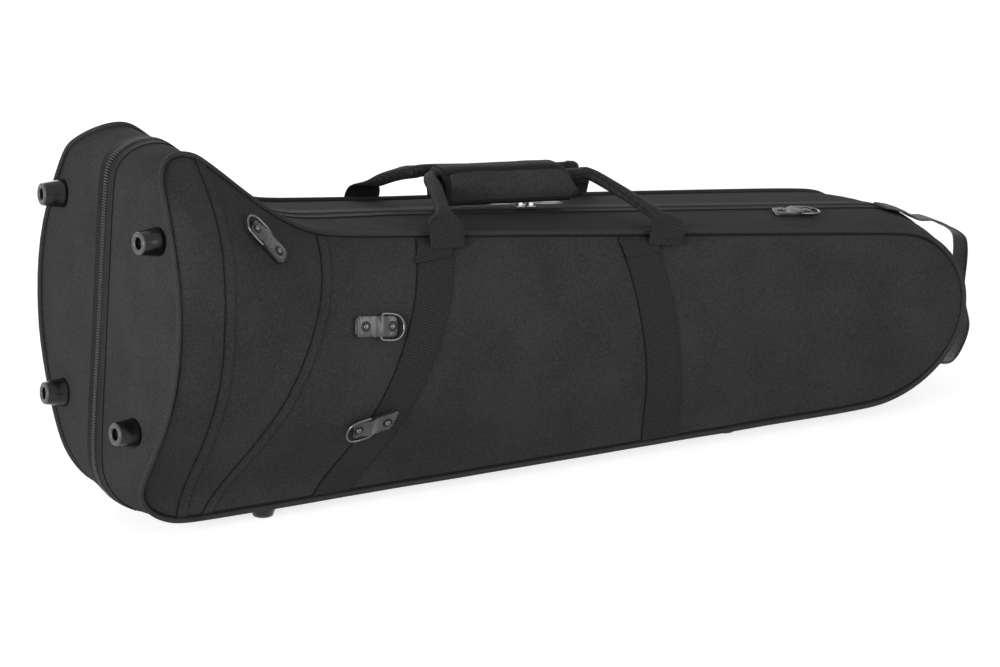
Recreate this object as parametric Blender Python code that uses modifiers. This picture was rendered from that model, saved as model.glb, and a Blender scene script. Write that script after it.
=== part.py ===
# Shaped soft case for a trombone, standing on its lower edge, bell end at -X and tail end at +X.
# The near half, at -Y, is the tray; the far half, at +Y, is the lid, hinged along the lower edge.
# Metres, +Z up, the floor at z = 0. Outlines are drawn in a plane with x from the bell's toe.
import math

import bmesh
import bpy
import numpy as np
from mathutils import Matrix, Vector

COLLECTION_NAME = "trombone_case"
CUTTER_COLLECTION_NAME = "case_cutters"
NEAR = -1
FAR = 1
MERGE = 0.000002
SLIVER = 0.00008
SLOPE_STEP = 0.0005
SMOOTH_ANGLE = 40
CLOTH_SMOOTH_ANGLE = 50
BEVEL_ANGLE = 60

# Side outline at the piping: six corners, rounded.
CASE_LENGTH = 0.9225
BASE_HEIGHT = 0.015
BELL_HEIGHT = 0.3555
BELL_RAKE = 0.026
BELL_PEAK_X = 0.0565
CROWN_X = 0.0705
THROAT_X = 0.1825
THROAT_DROP = 0.094
THROAT_RADIUS = 0.140
HEEL_RADIUS = 0.054
TAIL_HEIGHT = 0.169
TAIL_NOSE_HEIGHT = 0.104
BELL_SPLIT_HEIGHT = 0.175
BELL_FOCUS_X = 0.130
BELL_FOCUS_HEIGHT = 0.172
TAIL_FOCUS_SETBACK = 0.0725
TAIL_FOCUS_HEIGHT = 0.085

# Depth of a half from the split plane to its face.
BELL_EDGE_DEPTH = 0.062
TAIL_EDGE_DEPTH = 0.0925
BELL_BULGE = 0.0875
TAIL_BULGE = 0.014
BULGE_FADE_POWER = 1.7
UPPER_BULGE_POWER = 3.5
TAIL_BULGE_POWER = 2.0
LOWER_BULGE_POWER = 1.45
BELL_FLOOR_RISE = 0.0135
BELL_FADE_POWER = 3

# How far the gusset crowns out past the piping, at the split plane.
SIDE_CROWN = 0.0063
BELL_CROWN = 0.008
TAIL_CROWN = 0.0295
CROWN_POWER = 2.4
TAIL_CROWN_POWER = 3
CROWN_START_SHARE = 0.12
CROWN_FULL_SHARE = 0.37

# Layers of a half, from outside in.
SPLIT_HALF_GAP = 0.0003
GAP = 0.0003
SHELL_WALL = 0.007
LINING_WALL = 0.003
BINDING_WIDTH = 0.002
PIPING_RADIUS = 0.0021
SKIN_GAP = 0.0004

# Facet counts of the shells.
END_STEPS = 2
BROW_STEPS = 5
CROWN_STEPS = 3
SLOPE_STEPS = 2
THROAT_STEPS = 3
TOP_STEPS = 7
TAIL_TOP_STEPS = 5
HEEL_STEPS = 5
BOTTOM_STEPS = 13
TAIL_BOTTOM_STEPS = 7
OUTER_GUSSET_SHARES = (0.5, 0.78, 1.0)
OUTER_RING_SHARES = (0.88, 0.72, 0.52, 0.27, 0.0)
INNER_GUSSET_SHARES = (0.62, 1.0)
INNER_RING_SHARES = (0.78, 0.45, 0.0)

# Zipper, round the bell end, the top and the tail, and the cloth hinge along the lower edge.
TEETH_EDGE = 0.0026
TEETH_HEIGHT = 0.0021
TAPE_EDGE = 0.015
TAPE_THICKNESS = 0.0008

# Straps and stitched seam bands on each face, as places along the lower and upper edge.
STRAP_WIDTH = 0.039
STRAP_THICKNESS = 0.0014
STRAP_TOP_SETBACK = 0.018
SEAM_TOP_SETBACK = 0.002
STRIP_END_SETBACK = 0.002
BELL_STRAP_TOP_X = 0.3225
BELL_STRAP_BOTTOM_X = 0.2115
TAIL_STRAP_TOP_X = 0.5450
TAIL_STRAP_BOTTOM_X = 0.5745
SEAM_WIDTH = 0.011
SEAM_THICKNESS = 0.0008
BELL_SEAM_TOP_X = 0.0790
BELL_SEAM_BOTTOM_X = 0.0545
MID_SEAM_TOP_X = 0.2030
MID_SEAM_BOTTOM_X = 0.0810

# Feet: end feet on the bell end, base feet under the lower edge.
FOOT_BASE_RADIUS = 0.0132
FOOT_TIP_RADIUS = 0.0115
FOOT_HEIGHT = 0.021
FOOT_FILLET = 0.0014
FOOT_HOLE_RADIUS = 0.0072
FOOT_HOLE_DEPTH = 0.007
HIGH_FOOT_HEIGHT = 0.286
HIGH_FOOT_DEPTH = 0.100
LOW_FOOT_HEIGHT = 0.098
LOW_FOOT_DEPTH = 0.074
BASE_FOOT_DEPTH = 0.050
BELL_BASE_FOOT_X = 0.1485
TAIL_BASE_FOOT_SETBACK = 0.250
BASE_FOOT_RADIUS = 0.0125
FOOT_SEGMENTS = 16

# D-ring tabs: where the ring's bar lies, and the way the ring points (degrees from +X).
TAB_WIDTH = 0.020
TAB_THICKNESS = 0.0024
TAB_BACK = 0.0285
TAB_FRONT = 0.0185
TAB_CORNER = 0.004
TAB_HUMP = 0.0049
TAB_HUMP_REACH = 0.0062
RIVET_RADIUS = 0.0045
RIVET_HEIGHT = 0.0013
RIVET_OFFSET = 0.0140
RIVET_SEGMENTS = 12
TAB_CORNER_STEPS = 2
RING_CORNER_STEPS = 2
RING_BOW_STEPS = 8
RING_WIRE = 0.00125
RING_WIDTH = 0.0275
RING_REACH = 0.0275
RING_CORNER = 0.0025
RING_CLEARANCE = 0.0004
MID_TAB_X = 0.2360
MID_TAB_HEIGHT = 0.1935
MID_TAB_TURN = -10.0
LOW_TAB_X = 0.2275
LOW_TAB_HEIGHT = 0.0970
LOW_TAB_TURN = 190.0
HIGH_TAB_X = 0.1235
HIGH_TAB_HEIGHT = 0.2900
HIGH_TAB_TURN = 134.0
TOP_TAB_SETBACK = 0.158
TOP_TAB_DEPTH = 0.033
TAB_LIFT = 0.0008

# Zipper sliders, side by side on the top, with their pulls lying away from each other.
BELL_SLIDER_X = 0.4605
SLIDER_PITCH = 0.0118
SLIDER_LENGTH = 0.0105
SLIDER_WIDTH = 0.0095
SLIDER_PLATE = 0.0016
SLIDER_EAR = 0.0012
SLIDER_EAR_LENGTH = 0.0050
PULL_PIN_RADIUS = 0.0006
PULL_BARREL_RADIUS = 0.0015
PULL_BARREL_LENGTH = 0.0034
PULL_LENGTH = 0.038
PULL_WIDTH = 0.0075
PULL_THICKNESS = 0.0014
PULL_SHOULDER = 0.0045
PULL_EYE_RADIUS = 0.0020
PULL_END_STEPS = 6

# Padded grip: an inverted U that wraps the near loop.
GRIP_LENGTH = 0.156
GRIP_WIDTH = 0.044
GRIP_HEIGHT = 0.036
GRIP_WALL = 0.008
GRIP_CENTRE_X = 0.4510
GRIP_RISE = 0.05306
GRIP_DROP_SHARE = 0.96
GRIP_SHOULDER = 0.014
GRIP_ARC_STEPS = 4
GRIP_END_BEVEL = 0.003

# Share of webbing's half thickness that its corners lose.
WEBBING_CORNER_SHARE = 0.6

# Webbing of the two handle loops: flat at the feet, rolled at the grip. The shares are places
# along each leg, with how far the webbing has rolled there.
LOOP_THICKNESS = 0.0022
LOOP_ROLL_WIDTH = 0.016
LOOP_ROLL_THICKNESS = 0.008
LOOP_FOOT_WIDTH = 0.038
LOOP_FOOT_DROP = 0.010
LOOP_STAND_OFF = 0.0006
LOOP_BELL_FOOT_X = 0.3315
LOOP_TAIL_FOOT_X = 0.5740
LOOP_SAG = 0.004
LOOP_ENTRY_DEPTH = 0.012
LOOP_MOUTH = 0.010
LOOP_CLEARANCE = 0.0008
LOOP_LEG_SHARES = ((0.3, 0.4), (0.7, 0.85))
LOOP_STEPS = 3

# Tail loop: the shares are how far along its height and its reach each place lies.
TAIL_LOOP_INNER = 0.004
TAIL_LOOP_WIDTH = 0.025
TAIL_LOOP_THICKNESS = 0.0024
TAIL_LOOP_REACH = 0.064
TAIL_LOOP_TOP = 0.176
TAIL_LOOP_BOTTOM = 0.022
TAIL_LOOP_SHARES = ((0.0, 0.30), (0.06, 0.59), (0.15, 0.89), (0.32, 0.92), (0.51, 0.875),
                    (0.66, 0.95), (0.77, 1.0), (0.90, 0.89), (1.0, 0.66), (0.97, 0.30))
TAIL_LOOP_STEPS = 2

# Inside: foam rests, the mouthpiece block and the accessory box, all short of the split plane.
BLOCK_SETBACK = 0.004
FOAM_GAP = 0.0007
BELL_REST_X = 0.055
BELL_REST_LENGTH = 0.040
BELL_REST_RADIUS = 0.118
BELL_REST_CENTRE = 0.190
NECK_REST_X = 0.262
NECK_REST_LENGTH = 0.045
NECK_GROOVE_RADIUS = 0.034
NECK_GROOVE_HEIGHT = 0.196
SLIDE_REST_SHARE = 0.4932
SLIDE_REST_LENGTH = 0.045
SLIDE_REST_MARGIN = 0.008
TAIL_REST_SETBACK = 0.0925
TAIL_REST_LENGTH = 0.040
SLIDE_GROOVE_RADIUS = 0.013
SLIDE_GROOVE_LOW = 0.045
SLIDE_GROOVE_HIGH = 0.127
MOUTHPIECE_SETBACK = 0.1875
MOUTHPIECE_LENGTH = 0.070
MOUTHPIECE_BORE_RADIUS = 0.0145
MOUTHPIECE_BORE_DEPTH = 0.050
MOUTHPIECE_WALL = 0.0045
MOUTHPIECE_PITCH = 0.036
BOX_SETBACK = 0.3185
BOX_LENGTH = 0.106
BOX_CLEARANCE = 0.004
BOX_HEIGHT = 0.050
BOX_DEPTH = 0.046
BOX_WALL = 0.004
BOX_COVER_THICKNESS = 0.003
COVER_MARGIN = 0.001
GROOVE_SEGMENTS = 24
CUT_OVERRUN = 0.020

# Colours, in linear light, with roughness and metallic value.
CLOTH = ("woven_nylon", (0.030, 0.030, 0.031), 0.85, 0.0)
CORD_CLOTH = ("piping_nylon", (0.012, 0.012, 0.012), 0.75, 0.0)
WEBBING = ("webbing", (0.022, 0.022, 0.023), 0.80, 0.0)
PLUSH = ("plush_lining", (0.050, 0.052, 0.060), 0.95, 0.0)
VINYL = ("vinyl_tab", (0.060, 0.060, 0.064), 0.35, 0.0)
MOULDED = ("moulded_foot", (0.010, 0.010, 0.010), 0.30, 0.0)
DARK_METAL = ("black_nickel", (0.250, 0.250, 0.260), 0.28, 1.0)
BRIGHT_METAL = ("nickel", (0.620, 0.620, 0.610), 0.25, 1.0)
FOAM = ("foam_block", (0.035, 0.036, 0.040), 0.95, 0.0)


def unit(vector):
    return vector / np.linalg.norm(vector)


def corner_arc(before, corner, after, radius, steps):
    """Fillet points from the edge towards before to the edge towards after, with outward normals."""
    back = unit(np.subtract(before, corner))
    ahead = unit(np.subtract(after, corner))
    half_angle = math.acos(float(np.clip(back @ ahead, -1, 1))) / 2
    centre = np.array(corner) + unit(back + ahead) * radius / math.sin(half_angle)
    tangent = radius / math.tan(half_angle)
    start = np.array(corner) + back * tangent - centre
    end = np.array(corner) + ahead * tangent - centre
    turn = math.atan2(start[0] * end[1] - start[1] * end[0], float(start @ end))
    points = []
    for step in range(steps + 1):
        angle = turn * step / steps
        arm = np.array((start[0] * math.cos(angle) - start[1] * math.sin(angle),
                        start[0] * math.sin(angle) + start[1] * math.cos(angle)))
        points.append((centre + arm, unit(arm)))
    return points


def corners():
    """The outline's six sharp corners, as (x, z), from the bell's heel round to the tail's toe."""
    top = BASE_HEIGHT + BELL_HEIGHT
    heel = (0.0, BASE_HEIGHT)
    brow = (BELL_RAKE, top)
    crown = (CROWN_X, top)
    throat = (THROAT_X, top - THROAT_DROP)
    tail_top = (CASE_LENGTH, BASE_HEIGHT + TAIL_HEIGHT)
    tail_low = (CASE_LENGTH, BASE_HEIGHT)
    return heel, brow, crown, throat, tail_top, tail_low


def half_turn(before, corner, after):
    back = unit(np.subtract(before, corner))
    ahead = unit(np.subtract(after, corner))
    return math.acos(float(np.clip(back @ ahead, -1, 1))) / 2


def outline():
    """Points round the side outline and their outward normals, from the middle of the bell end.

    The upper way round and the lower one have the same number of steps, so that point i and
    point -i face each other and the face's rings can close on a line between them.
    """
    heel, brow, crown, throat, tail_top, tail_low = corners()
    brow_radius = (BELL_PEAK_X - BELL_RAKE) * math.tan(half_turn(heel, brow, crown))
    crown_radius = (CROWN_X - BELL_PEAK_X) * math.tan(half_turn(brow, crown, throat))
    top_radius = (TAIL_HEIGHT - TAIL_NOSE_HEIGHT) * math.tan(half_turn(throat, tail_top, tail_low))
    split_share = BELL_SPLIT_HEIGHT / BELL_HEIGHT
    middle = np.array(heel) + (np.array(brow) - np.array(heel)) * split_share
    rake = unit(np.subtract(brow, heel))
    end_normal = np.array((-rake[1], rake[0]))
    brow_arc = corner_arc(heel, brow, crown, brow_radius, BROW_STEPS)
    crown_arc = corner_arc(brow, crown, throat, crown_radius, CROWN_STEPS)
    throat_arc = [(point, -normal) for point, normal in
                  corner_arc(crown, throat, tail_top, THROAT_RADIUS, THROAT_STEPS)]
    tail_arc = corner_arc(throat, tail_top, tail_low, top_radius, TAIL_TOP_STEPS)
    heel_arc = corner_arc(brow, heel, tail_low, HEEL_RADIUS, HEEL_STEPS)
    nose_arc = corner_arc(heel, tail_low, tail_top, TAIL_NOSE_HEIGHT, TAIL_BOTTOM_STEPS)
    upper = chain([(middle, end_normal)], brow_arc, END_STEPS)
    upper = chain(upper, crown_arc, 0)
    upper = chain(upper, throat_arc, SLOPE_STEPS)
    upper = chain(upper, tail_arc, TOP_STEPS)
    lower = chain([(middle, end_normal)], heel_arc, END_STEPS)
    lower = chain(lower, nose_arc, BOTTOM_STEPS)
    loop = upper + lower[-2:0:-1]
    return np.array([p for p, _ in loop]), np.array([n for _, n in loop]), len(upper) - 1


def chain(points, arc, steps):
    """Adds a straight run of steps to the start of an arc, then the arc."""
    joined = list(points)
    start, normal = points[-1]
    for step in range(1, steps):
        joined.append((start + (arc[0][0] - start) * step / steps, normal))
    first = 1 if steps == 0 else 0
    joined.extend(arc[first:])
    return joined


POINTS, NORMALS, HALF_COUNT = outline()
COUNT = len(POINTS)


def top_line():
    """The outline's top edge as a height over x, run on past both ends for the bulge to follow."""
    _, brow, crown, throat, tail_top, _ = corners()
    slope = (tail_top[1] - throat[1]) / (tail_top[0] - throat[0])
    crown_radius = (CROWN_X - BELL_PEAK_X) * math.tan(half_turn(brow, crown, throat))
    line = [(-CASE_LENGTH, crown[1])]
    line += [tuple(p) for p, _ in corner_arc(brow, crown, throat, crown_radius, CROWN_STEPS)]
    line += [tuple(p) for p, _ in corner_arc(crown, throat, tail_top, THROAT_RADIUS, THROAT_STEPS * 2)]
    line.append((CASE_LENGTH * 2, tail_top[1] + slope * CASE_LENGTH))
    return np.array(line)


TOP_LINE = top_line()


def top_height(x):
    return float(np.interp(x, TOP_LINE[:, 0], TOP_LINE[:, 1]))


def depth(x, z):
    """Depth of the face behind the split plane, at a place on the side outline's plane."""
    share = min(max(x / CASE_LENGTH, 0.0), 1.0)
    edge = BELL_EDGE_DEPTH + (TAIL_EDGE_DEPTH - BELL_EDGE_DEPTH) * share
    bulge = TAIL_BULGE + (BELL_BULGE - TAIL_BULGE) * (1 - share) ** BULGE_FADE_POWER
    high = top_height(x)
    low = BASE_HEIGHT + BELL_FLOOR_RISE * (1 - share) ** BELL_FADE_POWER
    rise = (2 * z - high - low) / (high - low)
    rise = min(max(rise, -1.0), 1.0)
    power = TAIL_BULGE_POWER + (UPPER_BULGE_POWER - TAIL_BULGE_POWER) * (1 - share) ** 2
    fall = 1 - abs(rise) ** power if rise > 0 else (1 - rise * rise) ** LOWER_BULGE_POWER
    return edge + bulge * fall


def crown(x, normal):
    """How far the gusset stands out past the outline's point, at the split plane."""
    nx, nz = normal
    share = min(max(x / CASE_LENGTH, 0.0), 1.0)
    ramp = (share - CROWN_START_SHARE) / (CROWN_FULL_SHARE - CROWN_START_SHARE)
    ramp = min(max(ramp, 0.0), 1.0)
    ramp = ramp * ramp * (3 - 2 * ramp)
    side = SIDE_CROWN * (ramp if nz > 0 else 1.0)
    end = BELL_CROWN if nx < 0 else TAIL_CROWN * share ** TAIL_CROWN_POWER
    return side * nz * nz + end * nx * nx


def gusset_point(index, away, inset):
    """A point of the gusset at a distance away from the split plane; inset is measured inwards."""
    base = POINTS[index] - NORMALS[index] * inset
    share = min(away / edge_depth(index, inset), 1.0)
    out = base + NORMALS[index] * crown(POINTS[index][0], NORMALS[index]) * (1 - share ** CROWN_POWER)
    return out[0], away, out[1]


def edge_depth(index, inset):
    return depth(*POINTS[index]) - inset


def face_slopes(x, z):
    """How the face's depth changes along x and along z."""
    along_x = depth(x + SLOPE_STEP, z) - depth(x - SLOPE_STEP, z)
    along_z = depth(x, z + SLOPE_STEP) - depth(x, z - SLOPE_STEP)
    return along_x / (2 * SLOPE_STEP), along_z / (2 * SLOPE_STEP)


def face_point(x, z, inset):
    """A point of the face's surface, set in square to it, as (x, distance from the split, z)."""
    slope_x, slope_z = face_slopes(x, z)
    normal = unit(np.array((-slope_x, 1.0, -slope_z)))
    return tuple(np.array((x, depth(x, z), z)) - normal * inset)


def spine_point(index):
    """The place on the line between the two foci that the outline's point closes on."""
    start = np.array((BELL_FOCUS_X, BASE_HEIGHT + BELL_FOCUS_HEIGHT))
    end = np.array((CASE_LENGTH - TAIL_FOCUS_SETBACK, BASE_HEIGHT + TAIL_FOCUS_HEIGHT))
    run = end - start
    shares = []
    for partner in (index, -index):
        along = float((POINTS[partner % COUNT] - start) @ run) / float(run @ run)
        shares.append(min(max(along, 0.0), 1.0))
    return start + run * (shares[0] + shares[1]) / 2


def half_rows(inset, first_away, fine):
    """Rows of points over a half: the gusset from the split plane out, then rings over the face."""
    rows = [[gusset_point(i, away, inset) for i in range(COUNT)] for away in (first_away, TAPE_EDGE)]
    for share in OUTER_GUSSET_SHARES if fine else INNER_GUSSET_SHARES:
        rows.append([gusset_point(i, edge_depth(i, inset) * share, inset) for i in range(COUNT)])
    for share in OUTER_RING_SHARES if fine else INNER_RING_SHARES:
        row = []
        for i in range(COUNT):
            focus = spine_point(i)
            row.append(face_point(*(focus + (POINTS[i] - focus) * share), inset))
        rows.append(row)
    return rows


def add_row(bm, row, side):
    return [bm.verts.new((x, side * y, z)) for x, y, z in row]


def skin_rows(bm, rows, closed):
    """Triangles between neighbouring rows, split one way so that nested layers stay parallel."""
    for low, high in zip(rows, rows[1:]):
        count = len(low)
        for i in range(count if closed else count - 1):
            j = (i + 1) % count
            bm.faces.new((low[i], low[j], high[j]))
            bm.faces.new((low[i], high[j], high[i]))


def finish_mesh(bm, name):
    """Merges coincident points, turns the faces outwards and makes the mesh."""
    bmesh.ops.remove_doubles(bm, verts=bm.verts[:], dist=MERGE)
    bmesh.ops.dissolve_degenerate(bm, edges=bm.edges[:], dist=MERGE)
    bmesh.ops.recalc_face_normals(bm, faces=bm.faces[:])
    mesh = bpy.data.meshes.new(name)
    bm.to_mesh(mesh)
    bm.free()
    return mesh


def add_object(name, mesh, finish, collection=None):
    obj = bpy.data.objects.new(name, mesh)
    (collection or PARTS).objects.link(obj)
    if finish is not None:
        mesh.materials.clear()
        mesh.materials.append(material(name, finish))
    return obj


def material(name, finish):
    kind, colour, roughness, metallic = finish
    made = bpy.data.materials.new(kind + "_" + name)
    made.use_nodes = True
    shader = made.node_tree.nodes["Principled BSDF"]
    shader.inputs["Base Color"].default_value = (*colour, 1.0)
    shader.inputs["Roughness"].default_value = roughness
    shader.inputs["Metallic"].default_value = metallic
    return made


def smooth(obj, degrees=SMOOTH_ANGLE):
    obj.data.shade_smooth()
    obj.data.set_sharp_from_angle(angle=math.radians(degrees))


def half_layer(name, side, outer, inner, first_away, fine_outside, fine_inside):
    """The mesh of one half's closed layer, open at the split plane, between two insets."""
    bm = bmesh.new()
    outside = [add_row(bm, row, side) for row in half_rows(outer, first_away, fine_outside)]
    inside = [add_row(bm, row, side) for row in half_rows(inner, first_away, fine_inside)]
    skin_rows(bm, outside, True)
    skin_rows(bm, inside, True)
    skin_rows(bm, [outside[0], inside[0]], True)
    return finish_mesh(bm, name)


def half_plug(name, side, inset, first_away):
    """The solid that fills a half's inside up to a plane near the split: foam is cut from it."""
    bm = bmesh.new()
    rows = [add_row(bm, row, side) for row in half_rows(inset, first_away, False)]
    skin_rows(bm, rows, True)
    bm.faces.new(rows[0])
    return finish_mesh(bm, name)


def edge_band(name, side, indices, near_edge, far_edge, low, high, finish):
    """A band that follows the gusset: between two distances from the split and two heights."""
    closed = len(indices) == COUNT
    bm = bmesh.new()
    profile = [(near_edge, low), (far_edge, low), (far_edge, high), (near_edge, high)]
    rows = []
    for away, lift in profile:
        rows.append(add_row(bm, [gusset_point(i, away, -lift) for i in indices], side))
    skin_rows(bm, rows + [rows[0]], closed)
    if not closed:
        bm.faces.new([row[0] for row in rows])
        bm.faces.new([row[-1] for row in rows])
    obj = add_object(name, finish_mesh(bm, name), finish)
    smooth(obj)
    return obj


def piping(name, side):
    """The corded edge: a round cord that lies outside the corner of gusset and face."""
    reach = PIPING_RADIUS * math.sqrt(0.5) + GAP
    points = []
    for i in range(COUNT):
        base = POINTS[i] + NORMALS[i] * reach
        points.append((base[0], side * (edge_depth(i, 0.0) + reach), base[1]))
    return tube(name, points, PIPING_RADIUS, True, 1, CORD_CLOTH)


def tube(name, points, radius, cyclic, resolution, finish):
    curve = bpy.data.curves.new(name, "CURVE")
    curve.dimensions = "3D"
    curve.bevel_depth = radius
    curve.bevel_resolution = resolution
    curve.use_fill_caps = True
    spline = curve.splines.new("POLY")
    spline.points.add(len(points) - 1)
    for knot, place in zip(spline.points, points):
        knot.co = (*place, 1.0)
    spline.use_cyclic_u = cyclic
    obj = bpy.data.objects.new(name, curve)
    PARTS.objects.link(obj)
    curve.materials.append(material(name, finish))
    return obj


def prism(name, corners_xz, y_low, y_high):
    """A cutter: a flat outline in the side plane, run through along Y."""
    bm = bmesh.new()
    low = [bm.verts.new((x, y_low, z)) for x, z in corners_xz]
    high = [bm.verts.new((x, y_high, z)) for x, z in corners_xz]
    bm.faces.new(low)
    bm.faces.new(high)
    skin_rows(bm, [low, high], True)
    return cutter(name, finish_mesh(bm, name))


def cutter(name, mesh):
    obj = bpy.data.objects.new(name, mesh)
    CUTTERS.objects.link(obj)
    obj.hide_render = True
    obj.display_type = "WIRE"
    return obj


def box_mesh(name, low, high):
    bm = bmesh.new()
    bmesh.ops.create_cube(bm, size=1.0)
    size = [b - a for a, b in zip(low, high)]
    middle = [(a + b) / 2 for a, b in zip(low, high)]
    bmesh.ops.scale(bm, vec=size, verts=bm.verts[:])
    bmesh.ops.translate(bm, vec=middle, verts=bm.verts[:])
    return finish_mesh(bm, name)


def rod_mesh(name, start, end, radius, segments):
    start, end = Vector(start), Vector(end)
    bm = bmesh.new()
    bmesh.ops.create_cone(bm, cap_ends=True, segments=segments, radius1=radius, radius2=radius,
                          depth=(end - start).length)
    turn = (end - start).to_track_quat("Z", "Y").to_matrix().to_4x4()
    bmesh.ops.transform(bm, matrix=Matrix.Translation((start + end) / 2) @ turn, verts=bm.verts[:])
    return finish_mesh(bm, name)


def boolean(obj, other, operation):
    step = obj.modifiers.new(operation.lower() + "_" + other.name, "BOOLEAN")
    step.operation = operation
    step.solver = "EXACT"
    step.object = other
    return obj


def face_strip(name, side, skin, top_x, bottom_x, width, top_setback, finish):
    """A band over the face, cut from a skin that lies on the shell, with slanting sides.

    Its ends are level with the lower edge and with the top edge at the band's own place.
    """
    reach = width / 2
    low_z = BASE_HEIGHT + STRIP_END_SETBACK
    high = [(top_x + way * reach, top_height(top_x + way * reach) - top_setback) for way in (1, -1)]
    low = [(bottom_x - reach, low_z), (bottom_x + reach, low_z)]
    shape = prism(name + "_outline", low + high, side * CUT_OVERRUN,
                  side * (BELL_EDGE_DEPTH + BELL_BULGE + CUT_OVERRUN))
    obj = add_object(name, skin.copy(), finish)
    boolean(obj, shape, "INTERSECT")
    weld(obj)


def weld(obj):
    """Closes the slivers that a cut leaves where it passes close by a corner."""
    step = obj.modifiers.new("close_slivers", "WELD")
    step.merge_threshold = SLIVER


def face_frame(x, z, side, lift):
    """A frame on the face: its place, the +X-going tangent and the outward normal."""
    slope_x, slope_z = face_slopes(x, z)
    normal = Vector((-slope_x, side, -slope_z)).normalized()
    place = Vector((x, side * depth(x, z), z)) + normal * lift
    forward = Vector((1.0, 0.0, 0.0))
    forward = (forward - normal * forward.dot(normal)).normalized()
    return place, forward, normal


def top_frame(x, away, side, lift):
    """A frame on the straight stretch of the top gusset: place, +X-going tangent and normal."""
    flat = NORMALS[HALF_COUNT - TAIL_TOP_STEPS - 1]
    edge = depth(x, top_height(x))
    share = away / edge
    rise = crown(x, flat)
    base = np.array((x, top_height(x))) + flat * rise * (1 - share ** CROWN_POWER)
    lean = rise * CROWN_POWER * share ** (CROWN_POWER - 1) / edge
    normal = Vector((flat[0], side * lean, flat[1])).normalized()
    place = Vector((base[0], side * away, base[1])) + normal * lift
    return place, Vector((flat[1], 0.0, -flat[0])), normal


def frame_matrix(place, forward, normal, turn):
    """Local X along the ring's reach, local Z out of the surface, turned about that normal."""
    side_way = normal.cross(forward)
    matrix = Matrix((forward, side_way, normal)).transposed().to_4x4()
    matrix.translation = place
    return matrix @ Matrix.Rotation(math.radians(turn), 4, "Z")


def tab_profile():
    """Side profile of a tab, in its own x and z, with a hump over the ring's bar."""
    top = TAB_THICKNESS
    return [(-TAB_BACK, 0.0), (TAB_FRONT, 0.0), (TAB_FRONT, top), (TAB_HUMP_REACH, top),
            (TAB_HUMP_REACH / 2, TAB_HUMP), (-TAB_HUMP_REACH / 2, TAB_HUMP),
            (-TAB_HUMP_REACH, top), (-TAB_BACK, top)]


def bar_height():
    """The ring's bar lies in the hump, clear of the leather below it."""
    return RING_WIRE + RING_CLEARANCE + (TAB_HUMP - 2 * RING_WIRE - 2 * RING_CLEARANCE) / 2


def tab(name, matrix):
    """A riveted tab: the folded strip, its two rivet heads and the tunnel for the ring's bar."""
    bm = bmesh.new()
    rows = []
    for y in (-TAB_WIDTH / 2, TAB_WIDTH / 2):
        rows.append([bm.verts.new((x, y, z)) for x, z in tab_profile()])
    skin_rows(bm, rows, True)
    for row in rows:
        bm.faces.new(row)
    bmesh.ops.recalc_face_normals(bm, faces=bm.faces[:])
    ends = [e for e in bm.edges
            if abs(e.verts[0].co.x - e.verts[1].co.x) < MERGE
            and abs(e.verts[0].co.y - e.verts[1].co.y) < MERGE
            and (e.verts[0].co.x < -TAB_BACK + MERGE or e.verts[0].co.x > TAB_FRONT - MERGE)]
    bmesh.ops.bevel(bm, geom=ends, offset=TAB_CORNER, segments=TAB_CORNER_STEPS, profile=0.5, affect="EDGES")
    obj = add_object(name, finish_mesh(bm, name), VINYL)
    for spot, x in (("back", -RIVET_OFFSET), ("front", RIVET_OFFSET)):
        head = cutter(name + "_rivet_" + spot, rod_mesh(
            name + "_rivet_" + spot, (x, 0.0, TAB_THICKNESS / 2), (x, 0.0, TAB_THICKNESS + RIVET_HEIGHT),
            RIVET_RADIUS, RIVET_SEGMENTS))
        head.matrix_world = matrix
        boolean(obj, head, "UNION")
    tunnel = cutter(name + "_tunnel", rod_mesh(
        name + "_tunnel", (0.0, -TAB_WIDTH, bar_height()), (0.0, TAB_WIDTH, bar_height()),
        RING_WIRE + RING_CLEARANCE, RIVET_SEGMENTS))
    tunnel.matrix_world = matrix
    boolean(obj, tunnel, "DIFFERENCE")
    obj.matrix_world = matrix
    return obj


def ring(name, matrix):
    """A D-ring: a straight bar in the tab's tunnel and a bow round the tab's end."""
    half = RING_WIDTH / 2 - RING_WIRE
    reach = RING_REACH - RING_WIRE
    straight = reach - half
    lift = bar_height()
    flat = [(0.0, -half + RING_CORNER)]
    for step in range(1, RING_CORNER_STEPS + 1):
        angle = math.pi / 2 * step / RING_CORNER_STEPS
        flat.append((RING_CORNER * (1 - math.cos(angle)), -half + RING_CORNER * (1 - math.sin(angle))))
    for step in range(RING_BOW_STEPS + 1):
        angle = -math.pi / 2 + math.pi * step / RING_BOW_STEPS
        flat.append((straight + half * math.cos(angle), half * math.sin(angle)))
    for step in range(RING_CORNER_STEPS, -1, -1):
        angle = math.pi / 2 * step / RING_CORNER_STEPS
        flat.append((RING_CORNER * (1 - math.cos(angle)), half - RING_CORNER * (1 - math.sin(angle))))
    points = [matrix @ Vector((x, y, lift)) for x, y in flat]
    return tube(name, points, RING_WIRE, True, 1, DARK_METAL)


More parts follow.
